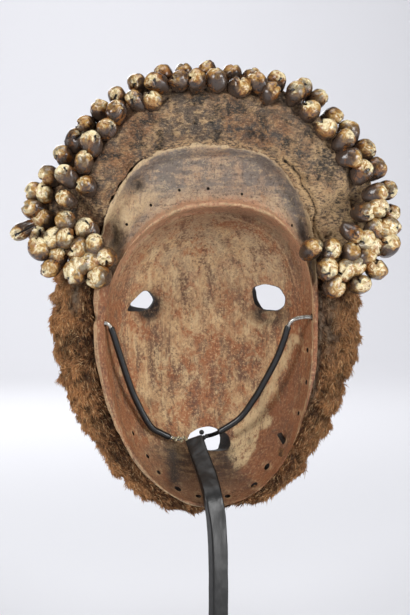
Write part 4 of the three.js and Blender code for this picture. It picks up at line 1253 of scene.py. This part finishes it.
drops("stand_brazing", BRAZING, braze)
drops("stand_weld", WELD, black)
for side, points in ARM_PATHS.items():
    path, tangents = smooth_path(points, ARM_STEPS)
    arm = new_piece(f"stand_arm_{side}", *skin(rod(path, tangents, ROD_RADIUS)))
    painted = smooth_step(np.linspace(0, 1, ARM_STEPS), 0.12, 0.09) * (side == "right")
    paint(arm, "painted", np.append(np.repeat(painted, ROD_SIDES), [painted[0], 0]))
    arm.data.materials.append(steel)
    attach(arm, "root")
    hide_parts(f"arm_{side}")
    first, last = (round(share * (ARM_STEPS - 1)) for share in SLEEVE_SHARES[side])
    covered = slice(first, last + 1)
    sleeve = new_piece(f"stand_sleeve_{side}", *skin(rod(path[covered], tangents[covered], SLEEVE_RADIUS)))
    sleeve.data.materials.append(tubing)
    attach(sleeve, "root")
    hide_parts(f"sleeve_{side}")

# The studio
# A pale seamless paper sweep with its own light, and a pale surround. Soft lights stand either side of the
# camera, above, before the mask's face, and low down where they draw the edges of the bar.
SWEEP_WIDTH, SWEEP_FRONT, SWEEP_BACK, SWEEP_RADIUS, SWEEP_TOP = 10.0, 4.5, -2.6, 2.2, 4.5
bend = np.linspace(0, np.pi / 2, 24)
profile = np.concatenate([
    [[SWEEP_FRONT, 0]],
    np.stack([SWEEP_BACK - SWEEP_RADIUS * np.sin(bend), SWEEP_RADIUS * (1 - np.cos(bend))], -1),
    [[SWEEP_BACK - SWEEP_RADIUS, SWEEP_TOP]],
])
sheet = [(side * SWEEP_WIDTH / 2, *point) for side in (-1, 1) for point in profile]
count = len(profile)
mesh = bpy.data.meshes.new("sweep")
mesh.from_pydata(sheet, [], [(i, i + 1, count + i + 1, count + i) for i in range(count - 1)])
mesh.shade_smooth()
sweep = put("sweep", mesh)
# Pale matt background paper, which gives a soft plain ground.
mesh.materials.append(finish("pale_paper_sweep", {}, ["#e6e7ec"], gloss=0.95))


def aim(thing, place, target):
    """Stands a light or the camera at a place, turned to a target."""
    thing.location = place
    thing.rotation_euler = (Vector(target) - Vector(place)).to_track_quat("-Z", "Y").to_euler()


def soft_light(name, place, target, size, power, colour):
    """A square area light aimed at a point."""
    light = bpy.data.lights.new(name, "AREA")
    light.shape = "SQUARE"
    light.size = size
    light.energy = power
    light.color = linear(colour)[:3]
    aim(put(name, light), place, target)


MASK_MIDDLE = (0.0, 0.03, 0.3)
soft_light("soft_left", (1.35, 1.25, 0.9), MASK_MIDDLE, 0.6, 19.5, "#ffffff")
soft_light("soft_right", (-1.25, 1.35, 0.85), MASK_MIDDLE, 0.6, 19.5, "#ffffff")
soft_light("soft_top", (0.0, 0.3, 1.9), MASK_MIDDLE, 1.2, 15, "#ffffff")
soft_light("soft_sweep", (0.1, -2.1, 2.7), (0.1, -4.4, 0.6), 2.0, 72, "#fbfafa")
soft_light("soft_face", (0.5, -2.0, 1.3), MASK_MIDDLE, 0.8, 10, "#ffffff")
soft_light("low_right", (-1.5, 0.62, 0.18), (0, 0.05, 0.12), 0.3, 4.8, "#ffffff")
soft_light("low_left", (1.4, -0.5, 0.2), (0, 0.05, 0.12), 0.3, 2.4, "#ffffff")
world = bpy.data.worlds.new("surround")
bpy.context.scene.world = world
world.use_nodes = True
world.node_tree.nodes["Background"].inputs["Color"].default_value = linear("#f0f0f5")
world.node_tree.nodes["Background"].inputs["Strength"].default_value = 0.16

CAMERA_AT, CAMERA_TARGET = (0.11439, 1.33382, 0.35271), (0.0012, 0.040, 0.296)
camera_data = bpy.data.cameras.new("camera")
camera_data.sensor_fit = "VERTICAL"
camera_data.sensor_height = 36.0
camera_data.lens = 95.0
camera = put("camera", camera_data)
aim(camera, CAMERA_AT, CAMERA_TARGET)
bpy.context.scene.camera = camera
bpy.context.scene.view_settings.view_transform = "Standard"
